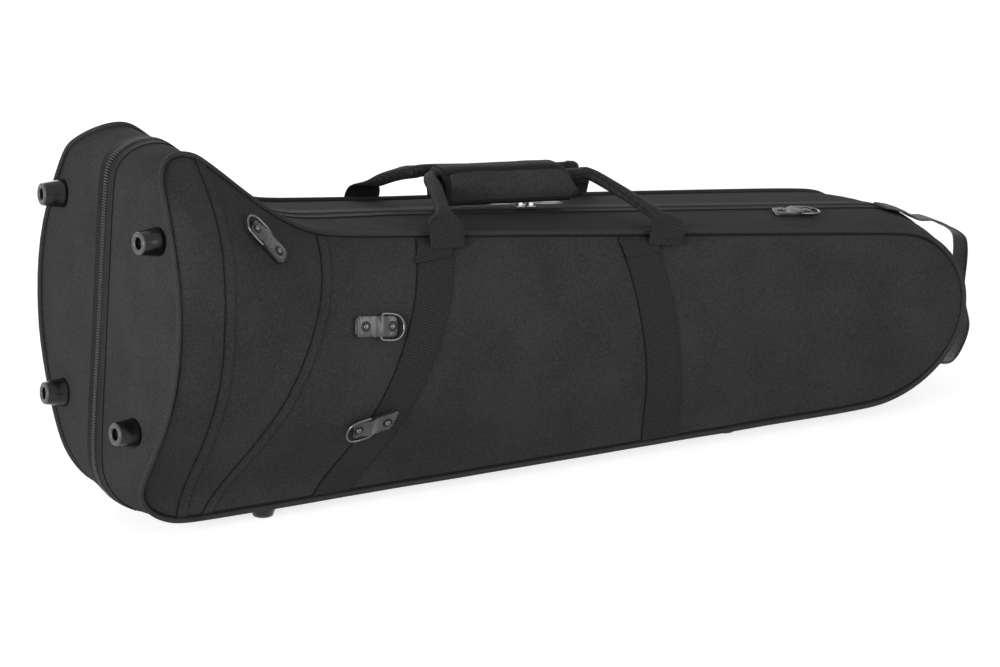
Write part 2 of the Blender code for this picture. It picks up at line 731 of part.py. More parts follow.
def foot(name, matrix, radius, height):
    """A turned foot: a profile spun round its axis, with a screw recess in its tip."""
    tip = radius * FOOT_TIP_RADIUS / FOOT_BASE_RADIUS
    hole = radius * FOOT_HOLE_RADIUS / FOOT_BASE_RADIUS
    fillet = FOOT_FILLET
    sunk = min(FOOT_HOLE_DEPTH, height / 2)
    profile = [(0.0, height - sunk), (hole, height - sunk), (hole, height - fillet / 2),
               (hole + fillet / 2, height), (tip - fillet, height), (tip, height - fillet),
               (radius, fillet), (radius, 0.0), (0.0, 0.0)]
    mesh = bpy.data.meshes.new(name)
    bm = bmesh.new()
    verts = [bm.verts.new((x, 0.0, z)) for x, z in profile]
    for a, b in zip(verts, verts[1:]):
        bm.edges.new((a, b))
    bmesh.ops.spin(bm, geom=bm.verts[:] + bm.edges[:], cent=(0, 0, 0), axis=(0, 0, 1),
                   dvec=(0, 0, 0), angle=math.tau, steps=FOOT_SEGMENTS, use_merge=True)
    bm.to_mesh(mesh)
    bm.free()
    bm = bmesh.new()
    bm.from_mesh(mesh)
    bpy.data.meshes.remove(mesh)
    obj = add_object(name, finish_mesh(bm, name), MOULDED)
    smooth(obj)
    obj.matrix_world = matrix
    return obj


def end_seat(side, height, away):
    """Place and outward normal of an end foot's seat on the bell end's gusset."""
    x_line = height / BELL_HEIGHT * BELL_RAKE
    rake = unit(np.array((BELL_RAKE, BELL_HEIGHT)))
    out = Vector((-rake[1], 0.0, rake[0]))
    edge = depth(x_line, BASE_HEIGHT + height)
    share = away / edge
    lift = BELL_CROWN * out.x * out.x * (1 - share ** CROWN_POWER)
    lean = BELL_CROWN * CROWN_POWER * share ** (CROWN_POWER - 1) / edge
    normal = (out + Vector((0.0, side * lean, 0.0))).normalized()
    place = Vector((x_line, side * away, BASE_HEIGHT + height)) + out * lift + normal * SKIN_GAP * 2
    return place, normal


def end_foot(name, side, height, away):
    """A foot on the bell end, square to the gusset there."""
    place, normal = end_seat(side, height, away)
    matrix = Matrix.Translation(place) @ normal.to_track_quat("Z", "Y").to_matrix().to_4x4()
    return foot(name, matrix, FOOT_BASE_RADIUS, FOOT_HEIGHT)


def base_foot(name, side, x):
    """A foot under the lower edge; its tip is the floor's height."""
    inner = BASE_FOOT_DEPTH - BASE_FOOT_RADIUS
    edge = depth(x, BASE_HEIGHT)
    seat = BASE_HEIGHT - SIDE_CROWN * (1 - (inner / edge) ** CROWN_POWER) - GAP
    matrix = Matrix.Translation((x, side * BASE_FOOT_DEPTH, seat)) @ Matrix.Rotation(math.pi, 4, "X")
    return foot(name, matrix, BASE_FOOT_RADIUS, seat)


def smooth_path(stations, steps):
    """Catmull-Rom points through stations of equal-length number rows."""
    rows = np.array(stations, dtype=float)
    padded = np.vstack([2 * rows[0] - rows[1], rows, 2 * rows[-1] - rows[-2]])
    out = []
    for k in range(1, len(padded) - 2):
        p0, p1, p2, p3 = padded[k - 1], padded[k], padded[k + 1], padded[k + 2]
        for step in range(steps):
            t = step / steps
            out.append(0.5 * (2 * p1 + (p2 - p0) * t + (2 * p0 - 5 * p1 + 4 * p2 - p3) * t * t
                              + (3 * p1 - p0 - 3 * p2 + p3) * t ** 3))
    out.append(rows[-1])
    return out


def ribbon(name, stations, steps, finish):
    """Webbing as a loft: each station is a place, the way its width lies, width and thickness."""
    rows = smooth_path(stations, steps)
    centres = [Vector(r[0:3]) for r in rows]
    bm = bmesh.new()
    loops = []
    for k, r in enumerate(rows):
        ahead = centres[min(k + 1, len(rows) - 1)] - centres[max(k - 1, 0)]
        ahead.normalize()
        wide = Vector(r[3:6])
        wide = (wide - ahead * wide.dot(ahead)).normalized()
        thick = ahead.cross(wide)
        half_w, half_t = r[6] / 2, r[7] / 2
        cut = half_t * WEBBING_CORNER_SHARE
        section = [(half_w, half_t - cut), (half_w - cut, half_t), (-half_w + cut, half_t),
                   (-half_w, half_t - cut), (-half_w, -half_t + cut), (-half_w + cut, -half_t),
                   (half_w - cut, -half_t), (half_w, -half_t + cut)]
        loops.append([bm.verts.new(centres[k] + wide * a + thick * b) for a, b in section])
    skin_rows(bm, loops, True)
    bm.faces.new(loops[0])
    bm.faces.new(loops[-1])
    obj = add_object(name, finish_mesh(bm, name), finish)
    smooth(obj, CLOTH_SMOOTH_ANGLE)
    return obj


def hang(obj, carrier):
    """Parents an object to an empty without moving it."""
    obj.parent = carrier
    obj.matrix_parent_inverse = Matrix.Translation(-Vector(PLACES[carrier.name]))


PLACES = {}


def empty(name, place):
    obj = bpy.data.objects.new(name, None)
    PARTS.objects.link(obj)
    obj.location = place
    PLACES[name] = tuple(place)
    return obj


def lid_turn_axis():
    """The cloth hinge's line: level with the underside of the hinge tapes, in the split plane."""
    return (0.0, 0.0, BASE_HEIGHT - SIDE_CROWN - GAP - TAPE_THICKNESS)


def lower_index(step):
    """Index of a point on the lower way round, counted from the middle of the bell end."""
    return -step % COUNT


def zip_indices():
    """Columns that carry the zipper: from the bell's toe over the top to the tail's nose."""
    first = END_STEPS + HEEL_STEPS
    last = first + BOTTOM_STEPS
    lower = [lower_index(step) for step in range(first, 0, -1)]
    nose = [lower_index(step) for step in range(HALF_COUNT - 1, last - 1, -1)]
    return lower + list(range(HALF_COUNT + 1)) + nose


def hinge_indices():
    first = END_STEPS + HEEL_STEPS
    return [lower_index(step) for step in range(first + 1, first + BOTTOM_STEPS)]


def shell_parts(prefix, side):
    """Cloth shell, lining, edge binding, piping, zipper half, hinge tape, straps and seams."""
    wall_start = SPLIT_HALF_GAP + BINDING_WIDTH + GAP
    lining_out = SHELL_WALL + GAP
    lining_in = lining_out + LINING_WALL
    tape_low, tape_high = GAP, GAP + TAPE_THICKNESS
    shell = add_object(prefix + "_shell", half_layer(prefix + "_shell", side, 0.0, SHELL_WALL,
                                                     wall_start, True, False), CLOTH)
    lining = add_object(prefix + "_lining", half_layer(prefix + "_lining", side, lining_out, lining_in,
                                                       wall_start, False, False), PLUSH)
    smooth(shell)
    smooth(lining)
    edge_band(prefix + "_binding", side, range(COUNT), SPLIT_HALF_GAP, SPLIT_HALF_GAP + BINDING_WIDTH,
              -lining_in, 0.0, CORD_CLOTH)
    piping(prefix + "_piping", side)
    edge_band(prefix + "_zip_tape", side, zip_indices(), TEETH_EDGE + GAP, TAPE_EDGE,
              tape_low, tape_high, WEBBING)
    # The teeth end where they are clear of the hinge's line, one column short of the tapes.
    edge_band(prefix + "_teeth", side, zip_indices()[1:-1], SPLIT_HALF_GAP, TEETH_EDGE,
              GAP, GAP + TEETH_HEIGHT, CORD_CLOTH)
    edge_band(prefix + "_hinge_tape", side, hinge_indices(), SPLIT_HALF_GAP, TAPE_EDGE,
              tape_low, tape_high, WEBBING)
    strap_skin = half_layer(prefix + "_strap_skin", side, -SKIN_GAP - STRAP_THICKNESS, -SKIN_GAP,
                            wall_start, True, True)
    seam_skin = half_layer(prefix + "_seam_skin", side, -SKIN_GAP - SEAM_THICKNESS, -SKIN_GAP,
                           wall_start, True, True)
    for word, top_x, bottom_x in (("bell", BELL_STRAP_TOP_X, BELL_STRAP_BOTTOM_X),
                                  ("tail", TAIL_STRAP_TOP_X, TAIL_STRAP_BOTTOM_X)):
        face_strip(prefix + "_strap_" + word, side, strap_skin, top_x, bottom_x, STRAP_WIDTH,
                   STRAP_TOP_SETBACK, WEBBING)
    for word, top_x, bottom_x in (("bell", BELL_SEAM_TOP_X, BELL_SEAM_BOTTOM_X),
                                  ("mid", MID_SEAM_TOP_X, MID_SEAM_BOTTOM_X)):
        face_strip(prefix + "_seam_" + word, side, seam_skin, top_x, bottom_x, SEAM_WIDTH,
                   SEAM_TOP_SETBACK, WEBBING)


def foot_parts(prefix, side):
    end_foot(prefix + "_end_foot_high", side, HIGH_FOOT_HEIGHT, HIGH_FOOT_DEPTH)
    end_foot(prefix + "_end_foot_low", side, LOW_FOOT_HEIGHT, LOW_FOOT_DEPTH)
    base_foot(prefix + "_base_foot_bell", side, BELL_BASE_FOOT_X)
    base_foot(prefix + "_base_foot_tail", side, CASE_LENGTH - TAIL_BASE_FOOT_SETBACK)


def block(name, plug, x_low, length, z_low, z_high, side, front, grooves):
    """A foam block: a slice of the half's inside, with round grooves cut along X."""
    reach = side * (BELL_EDGE_DEPTH + BELL_BULGE + CUT_OVERRUN)
    obj = add_object(name, plug.copy(), FOAM)
    low = (x_low, min(side * front, reach), z_low)
    high = (x_low + length, max(side * front, reach), z_high)
    boolean(obj, cutter(name + "_slice", box_mesh(name + "_slice", low, high)), "INTERSECT")
    for number, (away, height, radius, start, end) in enumerate(grooves):
        rod = rod_mesh(name + "_groove", (start, side * away, height), (end, side * away, height),
                       radius, GROOVE_SEGMENTS)
        boolean(obj, cutter(name + "_groove_" + str(number), rod), "DIFFERENCE")
    smooth(obj)
    return obj


def foam_parts(prefix, side):
    """Rests for the bell, the bell's neck and the slide, the same in both halves."""
    inset = SHELL_WALL + GAP + LINING_WALL + FOAM_GAP
    plug = half_plug(prefix + "_plug", side, inset, BLOCK_SETBACK)
    top = BASE_HEIGHT + BELL_HEIGHT
    slide_top = SLIDE_GROOVE_HIGH + SLIDE_GROOVE_RADIUS + SLIDE_REST_MARGIN
    for word, x_low, length, high, grooves in (
            ("bell_rest", BELL_REST_X, BELL_REST_LENGTH, top,
             [(0.0, BELL_REST_CENTRE, BELL_REST_RADIUS)]),
            ("neck_rest", NECK_REST_X, NECK_REST_LENGTH, top,
             [(0.0, NECK_GROOVE_HEIGHT, NECK_GROOVE_RADIUS)]),
            ("slide_rest", CASE_LENGTH * SLIDE_REST_SHARE, SLIDE_REST_LENGTH, slide_top,
             [(BLOCK_SETBACK, SLIDE_GROOVE_LOW, SLIDE_GROOVE_RADIUS),
              (BLOCK_SETBACK, SLIDE_GROOVE_HIGH, SLIDE_GROOVE_RADIUS)]),
            ("tail_rest", CASE_LENGTH - TAIL_REST_SETBACK, TAIL_REST_LENGTH, slide_top,
             [(BLOCK_SETBACK, SLIDE_GROOVE_LOW, SLIDE_GROOVE_RADIUS),
              (BLOCK_SETBACK, SLIDE_GROOVE_HIGH, SLIDE_GROOVE_RADIUS)])):
        start, end = x_low - CUT_OVERRUN, x_low + length + CUT_OVERRUN
        block(prefix + "_" + word, plug, x_low, length, 0.0, high, side, 0.0,
              [(away, height, radius, start, end) for away, height, radius in grooves])
    return plug


def mouthpiece_block(plug):
    """Foam with two bores for mouthpieces, open towards the tail."""
    first = CASE_LENGTH - MOUTHPIECE_SETBACK
    end = first + MOUTHPIECE_LENGTH
    start = end - MOUTHPIECE_BORE_DEPTH
    away = BLOCK_SETBACK + MOUTHPIECE_BORE_RADIUS + MOUTHPIECE_WALL
    rise = MOUTHPIECE_BORE_RADIUS + MOUTHPIECE_WALL
    low = SLIDE_GROOVE_HIGH + SLIDE_GROOVE_RADIUS + BOX_CLEARANCE
    bores = [(away + turn * MOUTHPIECE_PITCH, low + rise, MOUTHPIECE_BORE_RADIUS, start,
              end + CUT_OVERRUN) for turn in range(2)]
    block("mouthpiece_block", plug, first, MOUTHPIECE_LENGTH, low, low + 2 * rise, NEAR, 0.0, bores)


def accessory_box(plug):
    """A pocket of foam with a floor, two ends and two sides, and its hinged cover."""
    low = SLIDE_GROOVE_HIGH + SLIDE_GROOVE_RADIUS + BOX_CLEARANCE
    front = BLOCK_SETBACK + BOX_COVER_THICKNESS + GAP
    first = CASE_LENGTH - BOX_SETBACK
    body = block("accessory_box", plug, first, BOX_LENGTH, low, low + BOX_HEIGHT, NEAR, front, [])
    well = box_mesh("accessory_box_well",
                    (first + BOX_WALL, -front - BOX_DEPTH, low + BOX_WALL),
                    (first + BOX_LENGTH - BOX_WALL, CUT_OVERRUN, low + BOX_HEIGHT - BOX_WALL))
    boolean(body, cutter("accessory_box_well", well), "DIFFERENCE")
    weld(body)
    cover = box_mesh("accessory_cover",
                     (first + COVER_MARGIN, -front + GAP, low),
                     (first + BOX_LENGTH - COVER_MARGIN, -BLOCK_SETBACK + GAP, low + BOX_HEIGHT))
    axis = (0.0, -BLOCK_SETBACK + GAP, low)
    hinge = empty("accessory_cover_hinge", axis)
    obj = add_object("accessory_cover", cover, VINYL)
    hang(obj, hinge)


def grip_outline():
    """The grip's section, an inverted U, as (y, z) from the middle of its top."""
    half = GRIP_WIDTH / 2
    points = []
    for reach, radius, drop in ((half, GRIP_SHOULDER, 0.0),
                                (half - GRIP_WALL, GRIP_SHOULDER - GRIP_WALL, GRIP_WALL)):
        way = 1 if drop == 0.0 else -1
        path = [(-way * reach, -GRIP_HEIGHT)]
        for start in (math.pi, math.pi / 2):
            for step in range(GRIP_ARC_STEPS + 1):
                angle = start - math.pi / 2 * step / GRIP_ARC_STEPS
                middle = (reach - radius) * (-1 if start == math.pi else 1)
                path.append((way * (middle + radius * math.cos(angle)),
                             -drop - radius + radius * math.sin(angle)))
        path.append((way * reach, -GRIP_HEIGHT))
        points += path
    return points


def grip(carrier):
    """The padded saddle that wraps the near loop."""
    bm = bmesh.new()
    rows = []
    for x in (-GRIP_LENGTH / 2, GRIP_LENGTH / 2):
        rows.append([bm.verts.new((x, y, z)) for y, z in grip_outline()])
    skin_rows(bm, rows, True)
    for row in rows:
        bm.faces.new(row)
    obj = add_object("grip", finish_mesh(bm, "grip"), CORD_CLOTH)
    step = obj.modifiers.new("rounded_ends", "BEVEL")
    step.width = GRIP_END_BEVEL
    step.segments = 1
    step.limit_method = "ANGLE"
    step.angle_limit = math.radians(BEVEL_ANGLE)
    smooth(obj)
    obj.matrix_world = grip_matrix()
    hang(obj, carrier)


def top_fall():
    """How steeply the top edge falls from the throat to the tail."""
    _, _, _, throat, tail_top, _ = corners()
    return (throat[1] - tail_top[1]) / (tail_top[0] - throat[0])


def grip_top():
    return top_height(GRIP_CENTRE_X) + GRIP_RISE


def grip_matrix():
    """The grip hangs over the top at its own height, a little more level than the top's fall."""
    return Matrix.Translation((GRIP_CENTRE_X, 0.0, grip_top())) @ Matrix.Rotation(
        math.atan(top_fall() * GRIP_DROP_SHARE), 4, "Y")


def loop_anchor(x, side):
    """Where a loop's foot is sewn: below the piping, just clear of the strap on the face."""
    z = top_height(x) - LOOP_FOOT_DROP
    away = depth(x, z) + SKIN_GAP + STRAP_THICKNESS + LOOP_THICKNESS / 2 + LOOP_STAND_OFF
    return Vector((x, side * away, z))


def loop_stations(side, run_away, run_drop):
    """Stations of a handle loop from its bell foot, through the grip's run, to its tail foot.

    The webbing of both feet lies along the line between them, which the loop folds about.
    """
    stations = []
    slope = top_fall() * GRIP_DROP_SHARE
    lie = (loop_anchor(LOOP_TAIL_FOOT_X, side) - loop_anchor(LOOP_BELL_FOOT_X, side)).normalized()
    for x, way in ((LOOP_BELL_FOOT_X, 1), (LOOP_TAIL_FOOT_X, -1)):
        anchor = loop_anchor(x, side)
        edge = depth(x, top_height(x)) + PIPING_RADIUS * 2 + GAP + LOOP_STAND_OFF
        entry_x = GRIP_CENTRE_X - way * (GRIP_LENGTH / 2 - LOOP_ENTRY_DEPTH)
        run_z = grip_top() - run_drop
        entry = Vector((entry_x, side * run_away, run_z - (entry_x - GRIP_CENTRE_X) * slope))
        mouth = entry - Vector((way * (LOOP_ENTRY_DEPTH + LOOP_MOUTH), 0.0, -way * LOOP_MOUTH * slope))
        over = Vector((x - 2 * LOOP_FOOT_DROP * lie.z / lie.x, side * (edge + LOOP_THICKNESS),
                       top_height(x) + LOOP_FOOT_DROP))
        leg = []
        leg.append((*anchor, *(lie * way), LOOP_FOOT_WIDTH, LOOP_THICKNESS))
        leg.append((*over, *(lie * way), LOOP_FOOT_WIDTH, LOOP_THICKNESS))
        for share, narrow in LOOP_LEG_SHARES:
            place = over.lerp(mouth, share)
            place.z += LOOP_SAG * math.sin(math.pi * share)
            width = LOOP_FOOT_WIDTH + (LOOP_ROLL_WIDTH - LOOP_FOOT_WIDTH) * narrow
            thick = LOOP_THICKNESS + (LOOP_ROLL_THICKNESS - LOOP_THICKNESS) * narrow
            turn = math.pi / 2 * narrow
            across = lie * way * math.cos(turn) + Vector((0.0, side * math.sin(turn), 0.0))
            leg.append((*place, *across, width, thick))
        for place in (mouth, entry):
            leg.append((*place, 0, side, 0, LOOP_ROLL_WIDTH, LOOP_ROLL_THICKNESS))
        stations.append(leg)
    return stations[0] + stations[1][::-1]


def handle_loop(name, side, run_away, run_drop):
    """A handle loop on an empty at its bell foot; its hinge line runs through both feet."""
    carrier = empty(name + "_hinge", loop_anchor(LOOP_BELL_FOOT_X, side))
    hang(ribbon(name, loop_stations(side, run_away, run_drop), LOOP_STEPS, WEBBING), carrier)
    return carrier


def gusset_station(index, lift):
    """A station of the tail loop where it lies on the gusset, over the zipper's tape."""
    inner = Vector(gusset_point(index, TAIL_LOOP_INNER, -lift))
    outer = Vector(gusset_point(index, TAIL_LOOP_INNER + TAIL_LOOP_WIDTH, -lift))
    inner.y, outer.y = -inner.y, -outer.y
    middle = (inner + outer) / 2
    return (*middle, *(inner - outer).normalized(), TAIL_LOOP_WIDTH, TAIL_LOOP_THICKNESS)


def tail_loop():
    """Webbing sewn to the tail's brow and toe, standing off between them."""
    lift = TAPE_THICKNESS + 3 * GAP + TAIL_LOOP_THICKNESS / 2
    brow = HALF_COUNT - TAIL_TOP_STEPS
    away = TAIL_LOOP_INNER + TAIL_LOOP_WIDTH / 2
    stations = [gusset_station(index, lift) for index in (brow, brow + 1, brow + 2)]
    for down, out in TAIL_LOOP_SHARES:
        place = (CASE_LENGTH + TAIL_LOOP_REACH * out, -away,
                 TAIL_LOOP_TOP + (TAIL_LOOP_BOTTOM - TAIL_LOOP_TOP) * down)
        stations.append((*place, 0, 1, 0, TAIL_LOOP_WIDTH, TAIL_LOOP_THICKNESS))
    toe = lower_index(HALF_COUNT - TAIL_BOTTOM_STEPS // 2)
    stations.append(gusset_station(toe, lift))
    ribbon("tail_loop", stations, TAIL_LOOP_STEPS, WEBBING)


def tab_and_ring(word, frame, turn):
    matrix = frame_matrix(*frame, turn)
    tab("tab_" + word, matrix)
    carrier = empty("ring_" + word + "_hinge", matrix @ Vector((0.0, 0.0, bar_height())))
    hang(ring("ring_" + word, matrix), carrier)


def slider_mesh(name):
    """Plate, two ears and the pin between them, in the slider's own frame."""
    pin = SLIDER_PLATE + GAP + PULL_BARREL_RADIUS
    ear_in = PULL_BARREL_LENGTH / 2 + GAP
    plate = box_mesh(name, (-SLIDER_LENGTH / 2, -SLIDER_WIDTH / 2, 0.0),
                     (SLIDER_LENGTH / 2, SLIDER_WIDTH / 2, SLIDER_PLATE))
    pieces = [rod_mesh(name + "_pin", (0.0, -ear_in - SLIDER_EAR / 2, pin),
                       (0.0, ear_in + SLIDER_EAR / 2, pin), PULL_PIN_RADIUS, RIVET_SEGMENTS)]
    for way in (-1, 1):
        low, high = sorted((way * ear_in, way * (ear_in + SLIDER_EAR)))
        pieces.append(box_mesh(name + "_ear", (-SLIDER_EAR_LENGTH / 2, low, SLIDER_PLATE / 2),
                               (SLIDER_EAR_LENGTH / 2, high, pin + PULL_BARREL_RADIUS)))
    return plate, pieces


def slider(name, x, way):
    """A slider on the teeth with its pull, which lies towards way along the top."""
    lift = GAP + TEETH_HEIGHT + GAP
    place, forward, normal = top_frame(x, 0.0, NEAR, lift)
    matrix = frame_matrix(place, forward, normal, 0.0 if way > 0 else 180.0)
    carrier = empty("slider_" + name + "_carrier", place)
    plate, pieces = slider_mesh("slider_" + name)
    obj = add_object("slider_" + name, plate, BRIGHT_METAL)
    obj.matrix_world = matrix
    for number, mesh in enumerate(pieces):
        piece = cutter("slider_" + name + "_piece_" + str(number), mesh)
        piece.matrix_world = matrix
        boolean(obj, piece, "UNION")
    hang(obj, carrier)
    pin = SLIDER_PLATE + GAP + PULL_BARREL_RADIUS
    hinge = empty("pull_" + name + "_hinge", matrix @ Vector((0.0, 0.0, pin)))
    hang(pull("pull_" + name, matrix, pin), hinge)
    hang(hinge, carrier)


def pull(name, matrix, pin):
    """A zipper pull: a barrel on the slider's pin, a narrow neck and a rounded tongue."""
    neck = PULL_BARREL_LENGTH / 2
    shoulder = SLIDER_EAR_LENGTH / 2 + PULL_SHOULDER
    half = PULL_WIDTH / 2
    flat = [(0.0, -neck), (SLIDER_EAR_LENGTH / 2 + GAP, -neck), (shoulder, -half)]
    for step in range(PULL_END_STEPS + 1):
        angle = -math.pi / 2 + math.pi * step / PULL_END_STEPS
        flat.append((PULL_LENGTH - half + half * math.cos(angle), half * math.sin(angle)))
    flat += [(shoulder, half), (SLIDER_EAR_LENGTH / 2 + GAP, neck), (0.0, neck)]
    bm = bmesh.new()
    rows = [[bm.verts.new((x, y, pin + z)) for x, y in flat]
            for z in (-PULL_THICKNESS / 2, PULL_THICKNESS / 2)]
    skin_rows(bm, rows, True)
    for row in rows:
        bm.faces.new(row)
    obj = add_object(name, finish_mesh(bm, name), BRIGHT_METAL)
    obj.matrix_world = matrix
    eye = shoulder + PULL_EYE_RADIUS
    for word, operation, start, end, radius in (
            ("barrel", "UNION", (0.0, -neck, pin), (0.0, neck, pin), PULL_BARREL_RADIUS),
            ("bore", "DIFFERENCE", (0.0, -half, pin), (0.0, half, pin), PULL_PIN_RADIUS + GAP),
            ("eye", "DIFFERENCE", (eye, 0.0, pin - PULL_WIDTH), (eye, 0.0, pin + PULL_WIDTH),
             PULL_EYE_RADIUS)):
        tool = cutter(name + "_" + word, rod_mesh(name + "_" + word, start, end, radius,
                                                  RIVET_SEGMENTS))
        tool.matrix_world = matrix
        boolean(obj, tool, operation)
    return obj


def grip_run_drop():
    """The near loop's run lies just under the grip's top wall."""
    return GRIP_WALL + LOOP_CLEARANCE + LOOP_ROLL_THICKNESS / 2


def far_run_away():
    return GRIP_WIDTH / 2 + LOOP_CLEARANCE + LOOP_ROLL_WIDTH / 2


def middle_x():
    """Middle of the whole length, from the lower end feet's tips to the tail loop."""
    place, normal = end_seat(NEAR, LOW_FOOT_HEIGHT, LOW_FOOT_DEPTH)
    rim = (FOOT_TIP_RADIUS - FOOT_FILLET) * math.sqrt(1 - normal.x * normal.x)
    first = place.x + normal.x * FOOT_HEIGHT - rim
    last = CASE_LENGTH + TAIL_LOOP_REACH + TAIL_LOOP_THICKNESS / 2
    return (first + last) / 2


def clear_scene():
    for obj in list(bpy.data.objects):
        bpy.data.objects.remove(obj, do_unlink=True)


def new_collection(name):
    made = bpy.data.collections.new(name)
    bpy.context.scene.collection.children.link(made)
    return made


clear_scene()
PARTS = new_collection(COLLECTION_NAME)
CUTTERS = new_collection(CUTTER_COLLECTION_NAME)


def main():
    lid = empty("lid_hinge", lid_turn_axis())
    for prefix, side in (("near", NEAR), ("far", FAR)):
        before = len(PARTS.objects)
        shell_parts(prefix, side)
        foot_parts(prefix, side)
        plug = foam_parts(prefix, side)
        if side == FAR:
            for obj in PARTS.objects[before:]:
                hang(obj, lid)
            hang(handle_loop("far_loop", FAR, far_run_away(), grip_run_drop()), lid)
        else:
            mouthpiece_block(plug)
            accessory_box(plug)
    carrier = handle_loop("near_loop", NEAR, 0.0, grip_run_drop())
    grip(carrier)
    tail_loop()
    # The middle tab sits on a flat of the shell that lies a little under the face's true curve.
    over_strap = SKIN_GAP + STRAP_THICKNESS + TAB_LIFT
    for word, x, z, turn, lift in (("high", HIGH_TAB_X, HIGH_TAB_HEIGHT, HIGH_TAB_TURN, TAB_LIFT),
                                   ("mid", MID_TAB_X, MID_TAB_HEIGHT, MID_TAB_TURN, 0.0),
                                   ("low", LOW_TAB_X, LOW_TAB_HEIGHT, LOW_TAB_TURN, over_strap)):
        tab_and_ring(word, face_frame(x, z, NEAR, lift), turn)
    tab_and_ring("top", top_frame(CASE_LENGTH - TOP_TAB_SETBACK, TOP_TAB_DEPTH, NEAR, TAB_LIFT), 0.0)
    slider("bell", BELL_SLIDER_X, -1)
    slider("tail", BELL_SLIDER_X + SLIDER_PITCH, 1)
    root = empty("case_middle", (-middle_x(), 0.0, 0.0))
    for obj in list(PARTS.objects) + list(CUTTERS.objects):
        if obj.parent is None and obj != root:
            obj.parent = root


main()
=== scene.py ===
"""Looks of a shaped soft case for a trombone, dressed over its CAD frame and lit on a pale stage."""
import math

import bmesh
import bpy
from bpy.props import FloatProperty, FloatVectorProperty, PointerProperty
from bpy.types import NodeSocket, Operator, Panel, PropertyGroup
from mathutils import Matrix, Vector, noise
from mathutils.bvhtree import BVHTree


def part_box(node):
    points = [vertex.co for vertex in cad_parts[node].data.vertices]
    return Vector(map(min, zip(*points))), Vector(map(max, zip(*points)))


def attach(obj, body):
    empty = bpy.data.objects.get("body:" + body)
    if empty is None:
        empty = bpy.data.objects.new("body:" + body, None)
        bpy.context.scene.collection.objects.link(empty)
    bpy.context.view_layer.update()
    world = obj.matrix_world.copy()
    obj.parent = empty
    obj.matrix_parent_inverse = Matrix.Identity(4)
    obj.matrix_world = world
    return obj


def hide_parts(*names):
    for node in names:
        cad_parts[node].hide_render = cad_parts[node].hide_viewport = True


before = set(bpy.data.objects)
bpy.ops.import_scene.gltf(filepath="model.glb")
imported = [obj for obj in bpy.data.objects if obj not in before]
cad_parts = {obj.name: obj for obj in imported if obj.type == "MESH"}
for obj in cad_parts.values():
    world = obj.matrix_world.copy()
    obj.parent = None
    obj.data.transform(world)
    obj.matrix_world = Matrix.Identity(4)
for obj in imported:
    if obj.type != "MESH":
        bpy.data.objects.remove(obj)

bl_info = {
    "name": "Trombone Case Looks",
    "version": (1, 0, 0),
    "blender": (4, 5, 0),
    "location": "View3D > Sidebar > Case",
    "description": "Dresses the CAD frame of a shaped trombone case in cloth, webbing and metal",
    "category": "Object",
}

MERGE = 0.00001
# Each half has a prefix for its names, the side of the split that it is on, and a body.
HALVES = (("near", -1, "base"), ("far", 1, "lid"))
# How far from the split a ray starts on its way to a face.
RAY_START = 0.4
# Edges of a shell that are sharper than this, in degrees, stay sharp under its cloth.
CORNER_ANGLE = 28
# Points of a CAD piping that are closer than this belong to one ring.
RING_GAP = 0.0055
TEETH_GAP = 0.0045
# The point that the outline is ordered round, and the angle at which the order starts.
OUTLINE_MIDDLE = -0.38
OUTLINE_HEIGHT = 0.15
OUTLINE_START = math.radians(100)
# How far below the piping's middle a face ends.
EDGE_TUCK = 0.0018
# The dark lines of painted shade beside the straps and seam bands.
LINE_WIDTH = 0.0012
LINE_HEIGHT = 0.0009
BAND_ROWS, STRAP_ROWS, PATCH_ROWS = 64, 48, 10
# How far inside a band both rows of its stitches lie, together, and where seam bands and stitches end.
STRAP_HEM, SEAM_HEM = 0.006, 0.0026
SEAM_SETBACK, SEAM_STITCH_SETBACK = 0.0025, 0.0035
# Sides of a cord's section and of a webbing's.
CORD_SIDES = 12
WEBBING_SIDES = 24
# How deep the piping is seated, as a share of its radius, and where the painted shade in the groove
# beside it runs.
CORD_SEAT = 0.62
GROOVE_AWAY = 1.5
SHADE_CORD_RADIUS = 0.0009
# How high sewn things lie over what is under them.
SEWN_LIFT = 0.0001
# Length, width and height of a stitch and of a coil's turn; the length is a share of the pitch.
STITCH = (0.66, 0.0007, 0.0005)
STITCH_TAPER = (0.72, 0.6)
COIL_TURN = (0.45, 0.0031, 0.0022)
COIL_TAPER = (0.7, 0.8)
# A D-ring's tab: its ends, half width and corners, its thickness, and the hump over the ring's bar.
TAB_BACK, TAB_FRONT, TAB_HALF, TAB_CORNER = 0.0285, 0.0185, 0.0100, 0.0045
TAB_THICK = 0.0024
TAB_HUMP = 0.0052
HUMP_REACH = 0.0085
TAB_STITCH = 0.0034
TAB_CUTS = (-0.0255, -0.0230, -0.0205, -0.0180, -0.0155, -0.0130, -0.0105, -0.0085, -0.0055, -0.0028,
            0.0, 0.0028, 0.0055, 0.0085, 0.0115)
TABS = (("high", 0.35), ("mid", 0.0), ("low", 1.0), ("top", 0.8))
# Places of the two rivets along a tab; the back one sits on a crown.
RIVETS = (("back", -0.0175), ("front", 0.0130))
CROWN = 0.0010
CROWN_REACH = 0.0100
RIVET_COLLAR = [(0.0, 0.0018), (0.0050, 0.0018), (0.0052, 0.0026), (0.0048, 0.0031), (0.0036, 0.0031),
                (0.0033, 0.0028), (0.0, 0.0028)]
RIVET_DOME = [(0.0, 0.0026), (0.0030, 0.0026), (0.0030, 0.0031), (0.0026, 0.0037), (0.0016, 0.0042),
              (0.0, 0.0044)]
# Rows of points along a handle loop and along the tail loop.
HANDLE_ROWS, TAIL_ROWS = 120, 90
# Steps along and round the grip's binding.
BINDING_LONG = 40
BINDING_SHORT = 56
